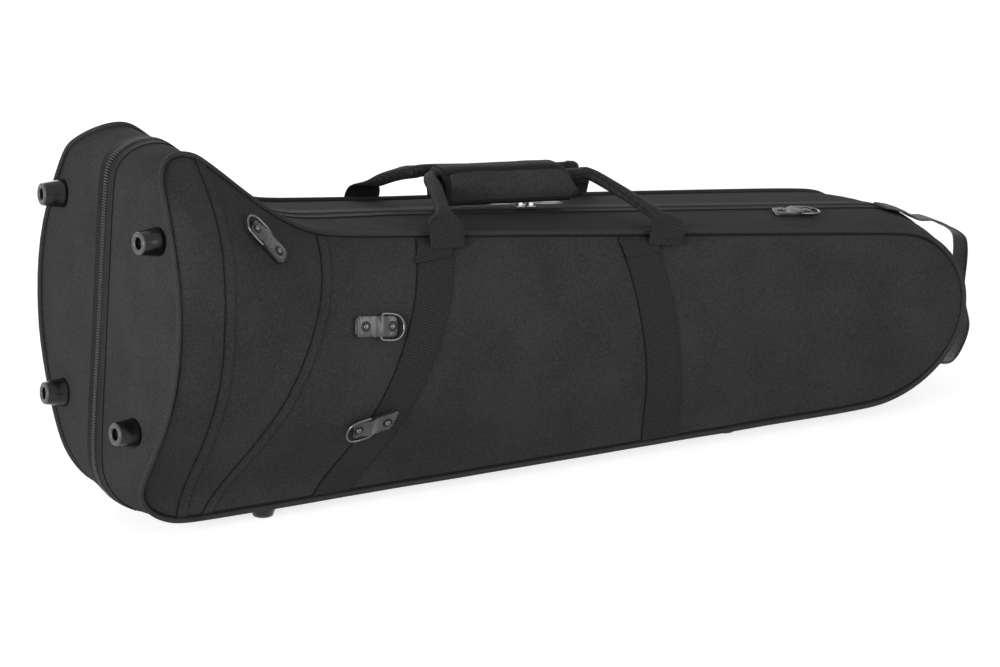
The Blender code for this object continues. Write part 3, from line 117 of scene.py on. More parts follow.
# Each lamp's name, place, width and watts.
LAMPS = (("key_softbox", (-3.4, -1.7, 1.0), 2.2, 120),
         ("fill_softbox", (1.9, -3.0, 1.0), 2.2, 38),
         ("back_softbox", (0.4, 2.9, 1.2), 2.0, 24))
LAMP_AIM = (0.0, 0.0, 0.15)
CAMERA_PLACE = (-2.47625, -4.1307, 1.5444)
CAMERA_AIM = (-0.0430, 0.0, 0.12436)
FOCAL_LENGTH = 183.1
FLOOR_COLOUR = "bcbcbc"
# How much of the floor's white is its own, for rays that see it, and the sky's level for the others.
FLOOR_GLOW = 0.78
SKY_LEVEL = 0.33


def linear(hex_colour):
    """Linear-light RGB of an sRGB colour written as six hex digits."""
    shares = [int(hex_colour[i:i + 2], 16) / 255 for i in (0, 2, 4)]
    return [c / 12.92 if c <= 0.04045 else ((c + 0.055) / 1.055) ** 2.4 for c in shares]


def place(name, description, default, **limits):
    return FloatProperty(name=name, description=description, default=default,
                         subtype="DISTANCE", unit="LENGTH", **limits)


def length(name, description, default):
    return place(name, description, default, min=0.0)


def colour(name, description, default):
    return FloatVectorProperty(name=name, description=description, size=3, min=0.0, max=1.0,
                               subtype="COLOR", default=linear(default))


class CaseColours(PropertyGroup):
    """Colours of the case's finishes."""

    cloth: colour("Cloth", "Woven nylon over the shell", "373738")
    piping: colour("Rim", "Binding of the two rims", "171717")
    grip_edge: colour("Grip edge", "Binding and ridge of the grip", "0f0f10")
    cord: colour("Cord", "Braided cover of the piping", "343435")
    # Painted shade: a near-black for the dark lines beside the piping, straps and seam bands, where
    # their edges and grooves throw shade.
    groove: colour("Groove", "Sewn lines beside the piping, straps and seams", "0d0d0d")
    # Painted shade: the far tape is drawn near-black for the shade in the zipper's fold.
    zip_tape: colour("Zipper tape", "The far tape, in the fold's shade", "0a0a0b")
    coil: colour("Coil", "Zipper coil", "58585a")
    webbing: colour("Webbing", "Straps and handle loops", "252526")
    # A browner tone than the other webbing, made lighter as painted light for the light its top catches
    # from above.
    tail_webbing: colour("Tail webbing", "The tail loop, a little faded", "3a3836")
    tape: colour("Tape", "The near tape and the hinge tape", "1d1d1e")
    plush: colour("Plush", "Lining and foam covers", "2e3036")
    leatherette: colour("Leatherette", "D-ring tabs", "1c1c1e")
    moulded: colour("Moulded plastic", "Bodies of the feet", "0c0c0d")
    # Painted highlight: the pale tips stand in for light caught on the feet's rounded rims.
    worn: colour("Worn plastic", "Tips of the feet", "4c4d4e")
    dark_metal: colour("Dark metal", "D-rings and domes of the rivets", "5e5f63")
    black_metal: colour("Black metal", "Collars of the rivets", "26272a")
    bright_metal: colour("Bright metal", "Zipper sliders and pulls", "9c9da0")
    thread: colour("Thread", "Stitching", "262627")


class CaseSizes(PropertyGroup):
    """Sizes and places of the parts that lie on the cloth, from the middle of the case."""

    strap_width: length("Strap width", "Webbing straps on both faces", 0.039)
    strap_thickness: length("Strap thickness", "Webbing straps on both faces", 0.0014)
    strap_base: length("Strap base height", "Height at which straps and seams end", 0.0185)
    strap_setback: length("Strap setback", "How far a strap ends below the top edge", 0.004)
    bell_strap_top: place("Bell strap, top", "Along the case, at the top edge", -0.16085)
    bell_strap_foot: place("Bell strap, foot", "Along the case, at the lower edge", -0.27185)
    tail_strap_top: place("Tail strap, top", "Along the case, at the top edge", 0.06165)
    tail_strap_foot: place("Tail strap, foot", "Along the case, at the lower edge", 0.09115)
    fold_start: length("Fold start", "From a handle loop's foot to where it begins to narrow", 0.022)
    fold_end: length("Fold end", "From a handle loop's foot to where it is a roll", 0.044)
    roll_width: length("Roll width", "Handle webbing folded into a roll", 0.0135)
    roll_thickness: length("Roll thickness", "Handle webbing folded into a roll", 0.0122)
    patch_length: length("Patch length", "Sewn-down end of a handle loop", 0.0200)
    tail_loop_start: length("Tail loop start", "What is left off the loop's upper end", 0.0200)
    tail_loop_lies: length("Tail loop lies", "How far along the tail loop it lies on the cloth", 0.0620)
    tail_loop_lifts: length("Tail loop lifts", "How far along the tail loop it stands clear", 0.0820)
    tape_stack: length("Tape stack", "Tape and coil under the tail loop's sewn end", 0.0028)
    seam_width: length("Seam width", "Stitched bands round the bell end", 0.0100)
    seam_thickness: length("Seam thickness", "Stitched bands round the bell end", 0.0008)
    bell_seam_top: place("Bell seam, top", "Along the case, at the top edge", -0.40435)
    bell_seam_foot: place("Bell seam, foot", "Along the case, at the lower edge", -0.42885)
    mid_seam_top: place("Middle seam, top", "Along the case, at the top edge", -0.28035)
    mid_seam_foot: place("Middle seam, foot", "Along the case, at the lower edge", -0.40235)
    stitch_pitch: length("Stitch pitch", "From one stitch to the next", 0.0042)
    coil_pitch: length("Coil pitch", "From one zipper coil turn to the next", 0.0027)
    cord_radius: length("Cord radius", "Piping round both faces", 0.0025)
    cloth_softness: length("Cloth softness", "How far the cloth strays from the shell", 0.0007)


def settings():
    return bpy.context.scene.case_sizes


def feed(tree, node, inputs):
    """Gives each input of a node its value, or links it to another node's output."""
    for name, given in inputs.items():
        if isinstance(given, NodeSocket):
            tree.links.new(given, node.inputs[name])
        else:
            node.inputs[name].default_value = given


def add_node(tree, kind, inputs, out=0, **options):
    """Adds a shader node with its options and inputs, and returns one of its outputs."""
    node = tree.nodes.new("ShaderNode" + kind)
    for name, value in options.items():
        setattr(node, name, value)
    feed(tree, node, inputs)
    return node.outputs[out]


def new_material(name, base, roughness, others=None):
    """A material with only its shader, whose uniform values are set on the sockets."""
    made = bpy.data.materials.new(name)
    made.use_nodes = True
    made.diffuse_color = (*base, 1.0)
    shader = made.node_tree.nodes["Principled BSDF"]
    feed(made.node_tree, shader, {"Base Color": (*base, 1.0), "Roughness": roughness, **(others or {})})
    return made, made.node_tree, shader


def thread_wave(tree, vector, direction, pitch):
    """A sine from 0 to 1 across threads that lie square to a direction, one wave per pitch."""
    along = add_node(tree, "VectorMath", {0: vector, 1: direction}, "Value", operation="DOT_PRODUCT")
    turns = add_node(tree, "Math", {0: along, 1: math.tau / pitch}, operation="MULTIPLY")
    wave = add_node(tree, "Math", {0: turns}, operation="SINE")
    return add_node(tree, "Math", {0: wave, 1: 0.5, 2: 0.5}, operation="MULTIPLY_ADD")


def mottled(tree, base, factor, low, high):
    """The base colour darkened and lightened by a factor's span."""
    dark = (*[c * low for c in base], 1.0)
    light = (*[min(c * high, 1.0) for c in base], 1.0)
    return add_node(tree, "Mix", {0: factor, 6: dark, 7: light}, 2, data_type="RGBA")


def surfaced(tree, shader, height, distance, strength, pattern=None):
    """Gives the shader its relief and, where there is one, its pattern of colour."""
    bump = add_node(tree, "Bump", {"Distance": distance, "Strength": strength, "Height": height})
    feed(tree, shader, {"Normal": bump})
    if pattern is not None:
        feed(tree, shader, {"Base Color": pattern})


def woven_nylon(name, base):
    """600-denier nylon, plain woven: a dry, even black whose threads break the light finely."""
    # The real threads are 0.5 mm apart. They are drawn 1.5 mm apart, so that they show.
    made, tree, shader = new_material(name, base, 0.82, {"Specular IOR Level": 0.06})
    spot = add_node(tree, "TexCoord", {}, "Object")
    warp = thread_wave(tree, spot, (1.0, 0.55, 0.0), 0.0015)
    weft = thread_wave(tree, spot, (0.0, 0.75, 1.0), 0.0015)
    weave = add_node(tree, "Math", {0: warp, 1: weft}, operation="MULTIPLY")
    fine = add_node(tree, "TexNoise", {"Scale": 1 / 0.0024, "Detail": 2.0, "Vector": spot})
    broad = add_node(tree, "TexNoise", {"Scale": 1 / 0.060, "Detail": 2.0, "Vector": spot})
    blotch = add_node(tree, "Math", {0: broad, 1: 0.35}, operation="MULTIPLY")
    grain = add_node(tree, "Math", {0: fine, 1: 0.65, 2: blotch}, operation="MULTIPLY_ADD")
    strong = add_node(tree, "MapRange", {"Value": grain, "From Min": 0.36, "From Max": 0.64})
    height = add_node(tree, "Math", {0: fine, 1: 0.6, 2: weave}, operation="MULTIPLY_ADD")
    surfaced(tree, shader, height, 0.0004, 0.55, mottled(tree, base, strong, 0.78, 1.25))
    return made


def twill_cord(name, base, direction=(1.0, 0.9, 1.0), pitch=0.0026):
    """Nylon cut on the bias round a cord: fine slanting ridges, a touch glossier than the cloth."""
    made, tree, shader = new_material(name, base, 0.65, {"Specular IOR Level": 0.15})
    ridges = thread_wave(tree, add_node(tree, "TexCoord", {}, "Object"), direction, pitch)
    surfaced(tree, shader, ridges, 0.0005, 0.7, mottled(tree, base, ridges, 0.7, 1.5))
    return made


def braided_cord(name, base):
    """Cord braided over with nylon: pale dots in slanting rows, dark between them."""
    # Real strands are 1 mm apart. They are drawn 2.8 mm apart on the cord's own map in metres.
    made, tree, shader = new_material(name, base, 0.7, {"Specular IOR Level": 0.12})
    spot = add_node(tree, "TexCoord", {}, "UV")
    first = thread_wave(tree, spot, (1.0, 0.9, 0.0), 0.0028)
    second = thread_wave(tree, spot, (-1.0, 0.9, 0.0), 0.0028)
    dots = add_node(tree, "Math", {0: first, 1: second}, operation="MULTIPLY")
    surfaced(tree, shader, dots, 0.0004, 0.6, mottled(tree, base, dots, 0.30, 3.2))
    return made


def ribbed_webbing(name, base, roughness=0.72, gloss=0.15):
    """Woven polypropylene webbing: ribs across it in rows, which catch the light as fine lines."""
    # Ribs are 2.6 mm apart along the webbing and threads 2.2 mm across, on the piece's own map.
    made, tree, shader = new_material(name, base, roughness, {"Specular IOR Level": gloss})
    spot = add_node(tree, "TexCoord", {}, "UV")
    slant = thread_wave(tree, spot, (0.30, 1.0, 0.0), 0.0026)
    rows = thread_wave(tree, spot, (1.0, 0.25, 0.0), 0.0022)
    both = add_node(tree, "Math", {0: slant, 1: rows}, operation="ADD")
    fibre = add_node(tree, "TexNoise", {"Scale": 1 / 0.0022, "Detail": 2.0, "Vector": spot})
    ribs = add_node(tree, "Math", {0: both, 1: fibre}, operation="MULTIPLY")
    height = add_node(tree, "Math", {0: ribs, 1: 0.8}, operation="MULTIPLY")
    surfaced(tree, shader, height, 0.0007, 0.75, mottled(tree, base, height, 0.30, 2.3))
    return made


def plush(name, base):
    """Short cut pile on foam: no gloss, a soft pale edge where it turns away, slight blotches."""
    made, tree, shader = new_material(name, base, 0.95, {
        "Specular IOR Level": 0.15, "Sheen Weight": 0.35, "Sheen Roughness": 0.4})
    spot = add_node(tree, "TexCoord", {}, "Object")
    pile = add_node(tree, "TexNoise", {"Scale": 1 / 0.0018, "Detail": 3.0, "Vector": spot})
    brushed = add_node(tree, "TexNoise", {"Scale": 1 / 0.035, "Detail": 2.0, "Vector": spot})
    mixed = add_node(tree, "Math", {0: pile, 1: brushed}, operation="MULTIPLY")
    surfaced(tree, shader, pile, 0.0008, 0.6, mottled(tree, base, mixed, 0.55, 2.1))
    return made


def leatherette(name, base):
    """Glossy PVC leathercloth, embossed with a fine pebble: it shows soft bright patches."""
    made, tree, shader = new_material(name, base, 0.3, {"Coat Weight": 0.25, "Coat Roughness": 0.2})
    spot = add_node(tree, "TexCoord", {}, "Object")
    pebble = add_node(tree, "TexVoronoi", {"Scale": 1 / 0.0011, "Vector": spot}, "Distance")
    surfaced(tree, shader, pebble, 0.0003, 0.25)
    return made


def moulded_plastic(name, base, roughness, gloss=0.38):
    """Injection-moulded plastic: deep black with a clean gloss and a barely uneven skin."""
    made, tree, shader = new_material(name, base, roughness, {"Specular IOR Level": gloss})
    spot = add_node(tree, "TexCoord", {}, "Object")
    skin = add_node(tree, "TexNoise", {"Scale": 1 / 0.004, "Detail": 2.0, "Vector": spot})
    surfaced(tree, shader, skin, 0.0002, 0.12)
    return made


def plated_metal(name, base, roughness):
    """Nickel-plated steel wire or casting: smooth, with faint polishing marks."""
    made, tree, shader = new_material(name, base, roughness, {"Metallic": 1.0})
    spot = add_node(tree, "TexCoord", {}, "Object")
    marks = add_node(tree, "TexNoise", {"Scale": 1 / 0.0012, "Detail": 1.0, "Vector": spot})
    surfaced(tree, shader, marks, 0.0001, 0.15)
    return made


def sewing_thread(name, base):
    """Bonded nylon thread: thin, rounded and slightly shiny against the cloth."""
    return new_material(name, base, 0.6, {"Specular IOR Level": 0.15})[0]


# Each finish: how it is made, its colour, and what else its making is given.
FINISHES = {
    "woven_nylon": (woven_nylon, "cloth"),
    "bias_piping": (twill_cord, "piping"),
    "braided_cord": (braided_cord, "cord"),
    "grip_twill": (twill_cord, "grip_edge"),
    # The far zipper tape, darkened with painted shade from the fold.
    "dark_tape": (twill_cord, "zip_tape", (0.4, 1.0, 0.4), 0.0016),
    # Near-black lines of painted shade in grooves and beside raised edges.
    "groove_thread": (sewing_thread, "groove"),
    "ribbed_webbing": (ribbed_webbing, "webbing"),
    "zipper_tape": (twill_cord, "tape", (0.4, 1.0, 0.4), 0.0016),
    "plush_pile": (plush, "plush"),
    # Lighter than the other webbing: painted light on the loop's top.
    "tail_webbing": (ribbed_webbing, "tail_webbing", 0.5, 0.5),
    "leatherette": (leatherette, "leatherette"),
    "moulded_abs": (moulded_plastic, "moulded", 0.22),
    # Pale plastic that paints the highlight on the feet's rounded tips.
    "worn_abs": (moulded_plastic, "worn", 0.32),
    "nylon_coil": (moulded_plastic, "coil", 0.6, 0.08),
    "black_nickel": (plated_metal, "dark_metal", 0.22),
    "blackened_steel": (plated_metal, "black_metal", 0.35),
    "bright_nickel": (plated_metal, "bright_metal", 0.3),
    "sewing_thread": (sewing_thread, "thread"),
}


def finish_of(name):
    """The shared material of that name, made when it is first asked for."""
    make, tint, *others = FINISHES[name]
    tints = bpy.context.scene.case_colours
    return bpy.data.materials.get(name) or make(name, getattr(tints, tint), *others)


def new_object(name, data):
    made = bpy.data.objects.new(name, data)
    bpy.context.scene.collection.objects.link(made)
    return made


def merged(node):
    """A CAD node's mesh as a bmesh with its loose triangles joined up."""
    bm = bmesh.new()
    bm.from_mesh(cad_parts[node].data)
    bmesh.ops.remove_doubles(bm, verts=bm.verts[:], dist=MERGE)
    return bm


def quads(bm):
    bmesh.ops.join_triangles(bm, faces=bm.faces[:], angle_face_threshold=math.radians(60),
                             angle_shape_threshold=math.pi)


def edges_over(bm, angle):
    """The edges whose two faces meet at more than an angle in degrees."""
    return [e for e in bm.edges if len(e.link_faces) == 2 and e.calc_face_angle() > math.radians(angle)]


def add_piece(name, bm, finish, body, replaced=(), smooth_angle=40):
    """Makes the finished piece of a bmesh: its object, finish, body and the CAD nodes it stands for."""
    mesh = bpy.data.meshes.new(name)
    bm.to_mesh(mesh)
    bm.free()
    mesh.materials.append(finish_of(finish))
    mesh.shade_smooth()
    mesh.set_sharp_from_angle(angle=math.radians(smooth_angle))
    obj = new_object(name, mesh)
    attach(obj, body)
    if replaced:
        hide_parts(*replaced)
    return obj


def mapped(bm, marks):
    """Gives each face corner the place on the piece's map that its vertex has, in metres."""
    uv = bm.loops.layers.uv.verify()
    for face in bm.faces:
        for loop in face.loops:
            loop[uv].uv = marks[loop.vert]


def subdivided(bm, levels, crease_angle, name):
    """The bmesh's subdivision surface as a new bmesh; edges sharper than the angle stay sharp."""
    crease = bm.edges.layers.float.get("crease_edge") or bm.edges.layers.float.new("crease_edge")
    bm.normal_update()
    for edge in edges_over(bm, crease_angle):
        edge[crease] = 1.0
    cage = bpy.data.meshes.new(name + "_cage")
    bm.to_mesh(cage)
    bm.free()
    holder = new_object(name + "_cage", cage)
    step = holder.modifiers.new("rounding", "SUBSURF")
    step.levels = levels
    step.render_levels = levels
    graph = bpy.context.evaluated_depsgraph_get()
    rounded = bpy.data.meshes.new_from_object(holder.evaluated_get(graph))
    made = bmesh.new()
    made.from_mesh(rounded)
    bpy.data.objects.remove(holder)
    bpy.data.meshes.remove(cage)
    bpy.data.meshes.remove(rounded)
    return made


def smooth_copy(node, name, finish, body, levels=2, crease_angle=55, swell=0.0):
    """A rounded copy of a CAD node that stands for it; swell makes up for what rounding takes off."""
    bm = merged(node)
    bm.normal_update()
    for vert in bm.verts if swell else ():
        vert.co += vert.normal * swell
    quads(bm)
    made = subdivided(bm, levels, crease_angle, name)
    return add_piece(name, made, finish, body, [node])


def bevelled_copy(node, name, finish, body, offset, segments=3, sharp_angle=50):
    """A copy of a CAD node with its sharp edges rounded over, which stands for it."""
    bm = merged(node)
    bmesh.ops.dissolve_limit(bm, angle_limit=math.radians(1), verts=bm.verts[:], edges=bm.edges[:])
    bm.normal_update()
    bmesh.ops.bevel(bm, geom=edges_over(bm, sharp_angle), offset=offset, offset_type="OFFSET",
                    segments=segments, profile=0.5, affect="EDGES", clamp_overlap=True, material=-1)
    bmesh.ops.recalc_face_normals(bm, faces=bm.faces[:])
    return add_piece(name, bm, finish, body, [node], 60)


def soft_step(value, low, high):
    """0 below the low value, 1 above the high one, and a smooth way between."""
    share = min(max((value - low) / (high - low), 0.0), 1.0)
    return share * share * (3 - 2 * share)


def parts(count):
    """The shares of a whole at which each of its equal parts starts."""
    return [step / count for step in range(count)]


def turns(count):
    """Angles spaced evenly round a full turn."""
    return [math.tau * step / count for step in range(count)]


def settle_cloth(bm, side, softness):
    """Lets the outer cloth stray a little from the shell, less towards the rim."""
    bm.normal_update()
    middle = Vector((0.0, 0.0, 0.10))
    rim, free, full = 0.004, 0.016, 0.030
    for vert in bm.verts:
        away = vert.co.y * side
        if (vert.co - middle).dot(vert.normal) <= 0 or away < rim:
            continue
        slow = noise.noise(vert.co * 14.0 + Vector((0, side * 3.1, 0)))
        quick = noise.noise(vert.co * 46.0 + Vector((side * 5.3, 0, 0)))
        weight = soft_step(away, free, full)
        vert.co += vert.normal * softness * weight * (0.75 * slow + 0.3 * quick)


# The finished covers, which what is sewn on them is laid on.
SKINS = {}


def cover(half):
    """The cloth-covered foam shell of one half."""
    prefix, side, body = half
    name = prefix + "_cover"
    bm = merged(prefix + "_shell")
    quads(bm)
    made = subdivided(bm, 2, CORNER_ANGLE, name)
    settle_cloth(made, side, settings().cloth_softness)
    made.normal_update()
    SKINS[prefix] = BVHTree.FromBMesh(made)
    obj = add_piece(name, made, "woven_nylon", body, [prefix + "_shell"], 50)


def on_face(half, x, z):
    """Place and outward normal on the cover's face, seen square to the split plane."""
    prefix, side, _ = half
    hit, normal, _, _ = SKINS[prefix].ray_cast(Vector((x, side * RAY_START, z)), Vector((0, -side, 0)))
    if hit is None:
        raise RuntimeError(f"nothing of the {prefix} cover lies at {x:.3f}, {z:.3f}")
    return hit, normal


def ring_centres(node, gap):
    """Centres of the rings of points that a thin CAD loft is made of; rings are further apart."""
    groups = []
    for spot in [v.co.copy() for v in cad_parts[node].data.vertices]:
        for group in groups:
            if (group[0] - spot).length < gap:
                group.append(spot)
                break
        else:
            groups.append([spot])
    centres = []
    for group in groups:
        own = set(tuple(round(c, 5) for c in spot) for spot in group)
        centres.append(sum((Vector(spot) for spot in own), Vector()) / len(own))
    return centres


# The upper edge of each face as places along the case and their heights.
EDGES = {}


def top_edge(prefix, x):
    """Height of the face's upper edge at a place along the case, just under the piping."""
    if prefix not in EDGES:
        upper = [c for c in ring_centres(prefix + "_piping", RING_GAP) if c.z > OUTLINE_HEIGHT]
        EDGES[prefix] = sorted((c.x, c.z) for c in upper)
    line = EDGES[prefix]
    for (x0, z0), (x1, z1) in zip(line, line[1:]):
        if x0 <= x <= x1:
            return z0 + (z1 - z0) * (x - x0) / (x1 - x0) - EDGE_TUCK
    raise RuntimeError(f"the upper edge has no point at {x:.3f}")


def draped(half, name, finish, foot, top, width, thickness, setback, rows, nodes=(), low=None,
           lift=SEWN_LIFT):
    """A band laid on the face from a low edge to the upper one, with its thickness and its own map."""
    prefix, side, body = half
    low = settings().strap_base if low is None else low
    rise = top_edge(prefix, top) - setback - low
    line = [on_face(half, foot + (top - foot) * share, low + rise * share)[0]
            for share in (step / rows for step in range(rows + 1))]
    runs = [0.0]
    for start, end in zip(line, line[1:]):
        runs.append(runs[-1] + (end - start).length)
    bm = bmesh.new()
    made = bmesh.ops.create_grid(bm, x_segments=8, y_segments=rows, size=0.5, calc_uvs=True)
    marks = {}
    for vert in made["verts"]:
        across, share = vert.co.x, vert.co.y + 0.5
        high = top_edge(prefix, top + across * width) - setback
        hit, normal = on_face(half, foot + (top - foot) * share + across * width,
                              low + (high - low) * share)
        marks[vert] = (across * width, runs[round(share * rows)])
        vert.co = hit + normal * lift
    mapped(bm, marks)
    bmesh.ops.recalc_face_normals(bm, faces=bm.faces[:])
    bm.normal_update()
    if sum(face.normal.y for face in bm.faces) * side < 0:
        bmesh.ops.reverse_faces(bm, faces=bm.faces[:])
    bmesh.ops.solidify(bm, geom=bm.faces[:], thickness=-thickness)
    bmesh.ops.recalc_face_normals(bm, faces=bm.faces[:])
    add_piece(name, bm, finish, body, nodes, 50)


def strides(points, pitch):
    """Steps of one pitch along a line: the number of the span, its direction and the place."""
    carried = pitch / 2
    for k, (start, end) in enumerate(zip(points, points[1:])):
        span = (end - start).length
        if span < MERGE:
            continue
        along = (end - start) / span
        while carried < span:
            yield k, along, start + along * carried
            carried += pitch
        carried -= span


def bar(bm, at, axes, size, taper):
    """A small bar on its own three axes, smaller at its top, as a stitch or a coil's turn is."""
    made = bmesh.ops.create_cube(bm, size=1.0)
    bmesh.ops.scale(bm, vec=size, verts=made["verts"])
    for vert in made["verts"]:
        if vert.co.z > 0:
            vert.co.x *= taper[0]
            vert.co.y *= taper[1]
    turn = Matrix(axes).transposed().to_4x4()
    bmesh.ops.transform(bm, matrix=Matrix.Translation(at) @ turn, verts=made["verts"])


def stitch_path(bm, points, normals, pitch, lift=SEWN_LIFT):
    """Stitches lying along a path, one per pitch, each with a short gap after it."""
    for k, along, at in strides(points, pitch):
        up = (normals[k] - along * normals[k].dot(along)).normalized()
        across = up.cross(along).normalized()
        size = (pitch * STITCH[0], *STITCH[1:])
        bar(bm, at + up * lift, (along, across, up), size, STITCH_TAPER)


def stitch_piece(name, bm, body):
    add_piece(name, bm, "sewing_thread", body, (), 30)


def swept(sections, closed=False, marks=None):
    """A skin bridged over rings of points, capped unless it is closed on itself."""
    bm = bmesh.new()
    rings = []
    for points in sections:
        made = bmesh.ops.create_circle(bm, cap_ends=False, segments=len(points), radius=0.001)
        for vert, point in zip(made["verts"], points):
            vert.co = point
        rings.append(made["verts"])
    pairs = list(zip(rings, rings[1:])) + ([(rings[-1], rings[0])] if closed else [])
    for low, high in pairs:
        both = set(low), set(high)
        edges = [e for ring in both for v in ring for e in v.link_edges if e.other_vert(v) in ring]
        bmesh.ops.bridge_loops(bm, edges=list(set(edges)))
    if not closed:
        for ring in (rings[0], rings[-1]):
            bmesh.ops.contextual_create(bm, geom=ring)
    bmesh.ops.recalc_face_normals(bm, faces=bm.faces[:])
    if marks:
        mapped(bm, dict(zip((v for ring in rings for v in ring), marks)))
    return bm


def cord(name, middles, ways, radius, finish, body, replaced=()):
    """A closed round cord along a line, with its own map in metres; its seam turns away from ways."""
    sections, marks = [], []
    run = 0.0
    for k, middle in enumerate(middles):
        ahead = (middles[(k + 1) % len(middles)] - middles[k - 1]).normalized()
        out = (ways[k] - ahead * ways[k].dot(ahead)).normalized()
        across = ahead.cross(out)
        run += (middle - middles[k - 1]).length if k else 0.0
        angles = [math.pi + angle for angle in turns(CORD_SIDES)]
        sections.append([middle + (out * math.cos(angle) + across * math.sin(angle)) * radius
                         for angle in angles])
        marks += [(radius * angle, run) for angle in angles]
    bm = swept(sections, closed=True, marks=marks)
    add_piece(name, bm, finish, body, replaced, 60)


def smoothed(points):
    """The closed line with each point drawn towards its neighbours."""
    before = points[-1:] + points[:-1]
    after = points[1:] + points[:1]
    return [(a + b * 2 + c) / 4 for a, b, c in zip(before, points, after)]


def round_order(points):
    """The points in order round the outline: from the lower edge up the bell end and on to the tail."""
    def turn(point):
        angle = math.atan2(point.z - OUTLINE_HEIGHT, point.x - OUTLINE_MIDDLE)
        return (angle + OUTLINE_START) % math.tau

    return sorted(points, key=turn, reverse=True)


def b_spline(points, steps, closed=False):
    """Points on the curve that a subdivision surface with these corners comes to."""
    if closed:
        line = [points[-1]] + points + [points[0], points[1]]
    else:
        line = [points[0] * 2 - points[1]] + points + [points[-1] * 2 - points[-2]]
    out = []
    for p0, p1, p2, p3 in zip(line, line[1:], line[2:], line[3:]):
        for t in parts(steps):
            out.append((p0 * (1 - t) ** 3 + p1 * (3 * t ** 3 - 6 * t * t + 4)
                        + p2 * (-3 * t ** 3 + 3 * t * t + 3 * t + 1) + p3 * t ** 3) / 6)
    return out if closed else out + [points[-1]]


def corded_edge(prefix, body):
    """Piping seated on the corner of face and gusset, and painted shade in the groove on its face side.
    """
    radius = settings().cord_radius
    skin = SKINS[prefix]
    inner = Vector((OUTLINE_MIDDLE, 0.0, OUTLINE_HEIGHT))
    corners = b_spline(round_order(ring_centres(prefix + "_piping", RING_GAP)), 4, closed=True)
    middles, ways, grooves, lifts = [], [], [], []
    for corner in corners:
        hit, normal, _, _ = skin.find_nearest(corner)
        out = corner - hit
        out = out.normalized() if out.dot(normal) > 0 else normal
        middles.append(hit + out * radius * CORD_SEAT)
        ways.append(out)
        # Inwards is towards the bell's middle at the bell end, and straight up or down beyond it.
        inwards = Vector((max(inner.x - corner.x, 0.0), 0.0, inner.z - corner.z)).normalized()
        seat, lift, _, _ = skin.find_nearest(hit + inwards * (radius * GROOVE_AWAY) + out * 0.001)
        grooves.append(seat + lift * 0.0002)
        lifts.append(lift)
    cord(prefix + "_corded_edge", smoothed(middles), smoothed(ways), radius, "braided_cord", body,
         [prefix + "_piping"])
    # A near-black cord that paints the shade in the groove beside the piping.
    cord(prefix + "_sewn_groove", smoothed(grooves), smoothed(lifts), SHADE_CORD_RADIUS, "groove_thread",
         body)


def trim(half):
    """Bound rim, corded edge and zipper tape of one half, and its half of the cloth hinge."""
    prefix, _, body = half
    smooth_copy(prefix + "_binding", prefix + "_rim_binding", "bias_piping", body)
    corded_edge(prefix, body)
    # The far tape takes a near-black finish of painted shade from the zipper's fold.
    tape = "zipper_tape" if prefix == "near" else "dark_tape"
    smooth_copy(prefix + "_zip_tape", prefix + "_zipper_tape", tape, body)
    smooth_copy(prefix + "_hinge_tape", prefix + "_hinge_webbing", "zipper_tape", body)


def zipper_coil(half):
    """The half of a nylon coil zipper: one low turn after another along the rim."""
    prefix, side, body = half
    centres = b_spline(round_order(ring_centres(prefix + "_teeth", TEETH_GAP)), 8)
    pitch = settings().coil_pitch
    bm = bmesh.new()
    for _, along, at in strides(centres, pitch):
        up = along.cross(Vector((0, 1, 0))).normalized()
        bar(bm, at + Vector((0.0, side * 0.0003, 0.0)), (along, Vector((0, -1, 0)), -up),
            (pitch * COIL_TURN[0], *COIL_TURN[1:]), COIL_TAPER)
    add_piece(prefix + "_zipper_coil", bm, "nylon_coil", body, [prefix + "_teeth"], 30)


def sewn_band(half, node, name, finish, foot, top, width, thickness, setback, rows, hem, drop):
    """A band on a face, a row of stitches inside both its edges, and a dark line of painted shade on its
    bell side.
    """
    prefix, _, body = half
    kind, word = node.split("_")
    draped(half, f"{prefix}_{name}_{word}", finish, foot, top, width, thickness, setback, rows,
           [f"{prefix}_{node}"])
    low = settings().strap_base
    spread = width - hem
    bm = bmesh.new()
    for across in (-spread / 2, spread / 2):
        high = top_edge(prefix, top + across) - drop
        points, normals = [], []
        for share in (0.02 + 0.96 * step / 60 for step in range(61)):
            hit, normal = on_face(half, foot + (top - foot) * share + across, low + (high - low) * share)
            points.append(hit)
            normals.append(normal)
        stitch_path(bm, points, normals, settings().stitch_pitch, thickness + SEWN_LIFT)
    stitch_piece(f"{prefix}_{kind}_stitches_{word}", bm, body)
    # The dark line is painted shade, such as the band's edge would throw on its bell side.
    away = (width + LINE_WIDTH) / 2
    draped(half, f"{prefix}_{kind}_line_{word}", "groove_thread", foot - away, top - away, LINE_WIDTH,
           LINE_HEIGHT, setback, BAND_ROWS)


def strap_places():
    """The name, foot and top of the two straps on each face."""
    size = settings()
    return (("bell", size.bell_strap_foot, size.bell_strap_top),
            ("tail", size.tail_strap_foot, size.tail_strap_top))


def straps(half):
    """The two webbing straps on a face."""
    size = settings()
    for word, foot, top in strap_places():
        sewn_band(half, "strap_" + word, "webbing_strap", "ribbed_webbing", foot, top, size.strap_width,
                  size.strap_thickness, size.strap_setback, STRAP_ROWS, STRAP_HEM, size.strap_setback)


def loop_patches(half):
    """The sewn-down ends of the handle loop, folded over the tops of the two straps."""
    size = settings()
    prefix = half[0]
    for word, foot, top in strap_places():
        high = top_edge(prefix, top)
        share = (size.patch_length + size.strap_setback) / (high - size.strap_base)
        draped(half, f"{prefix}_loop_patch_{word}", "ribbed_webbing", top + (foot - top) * share, top,
               size.strap_width + 0.002, size.strap_thickness, size.strap_setback + 0.003, PATCH_ROWS,
               (), high - size.patch_length, size.strap_thickness + 0.0002)


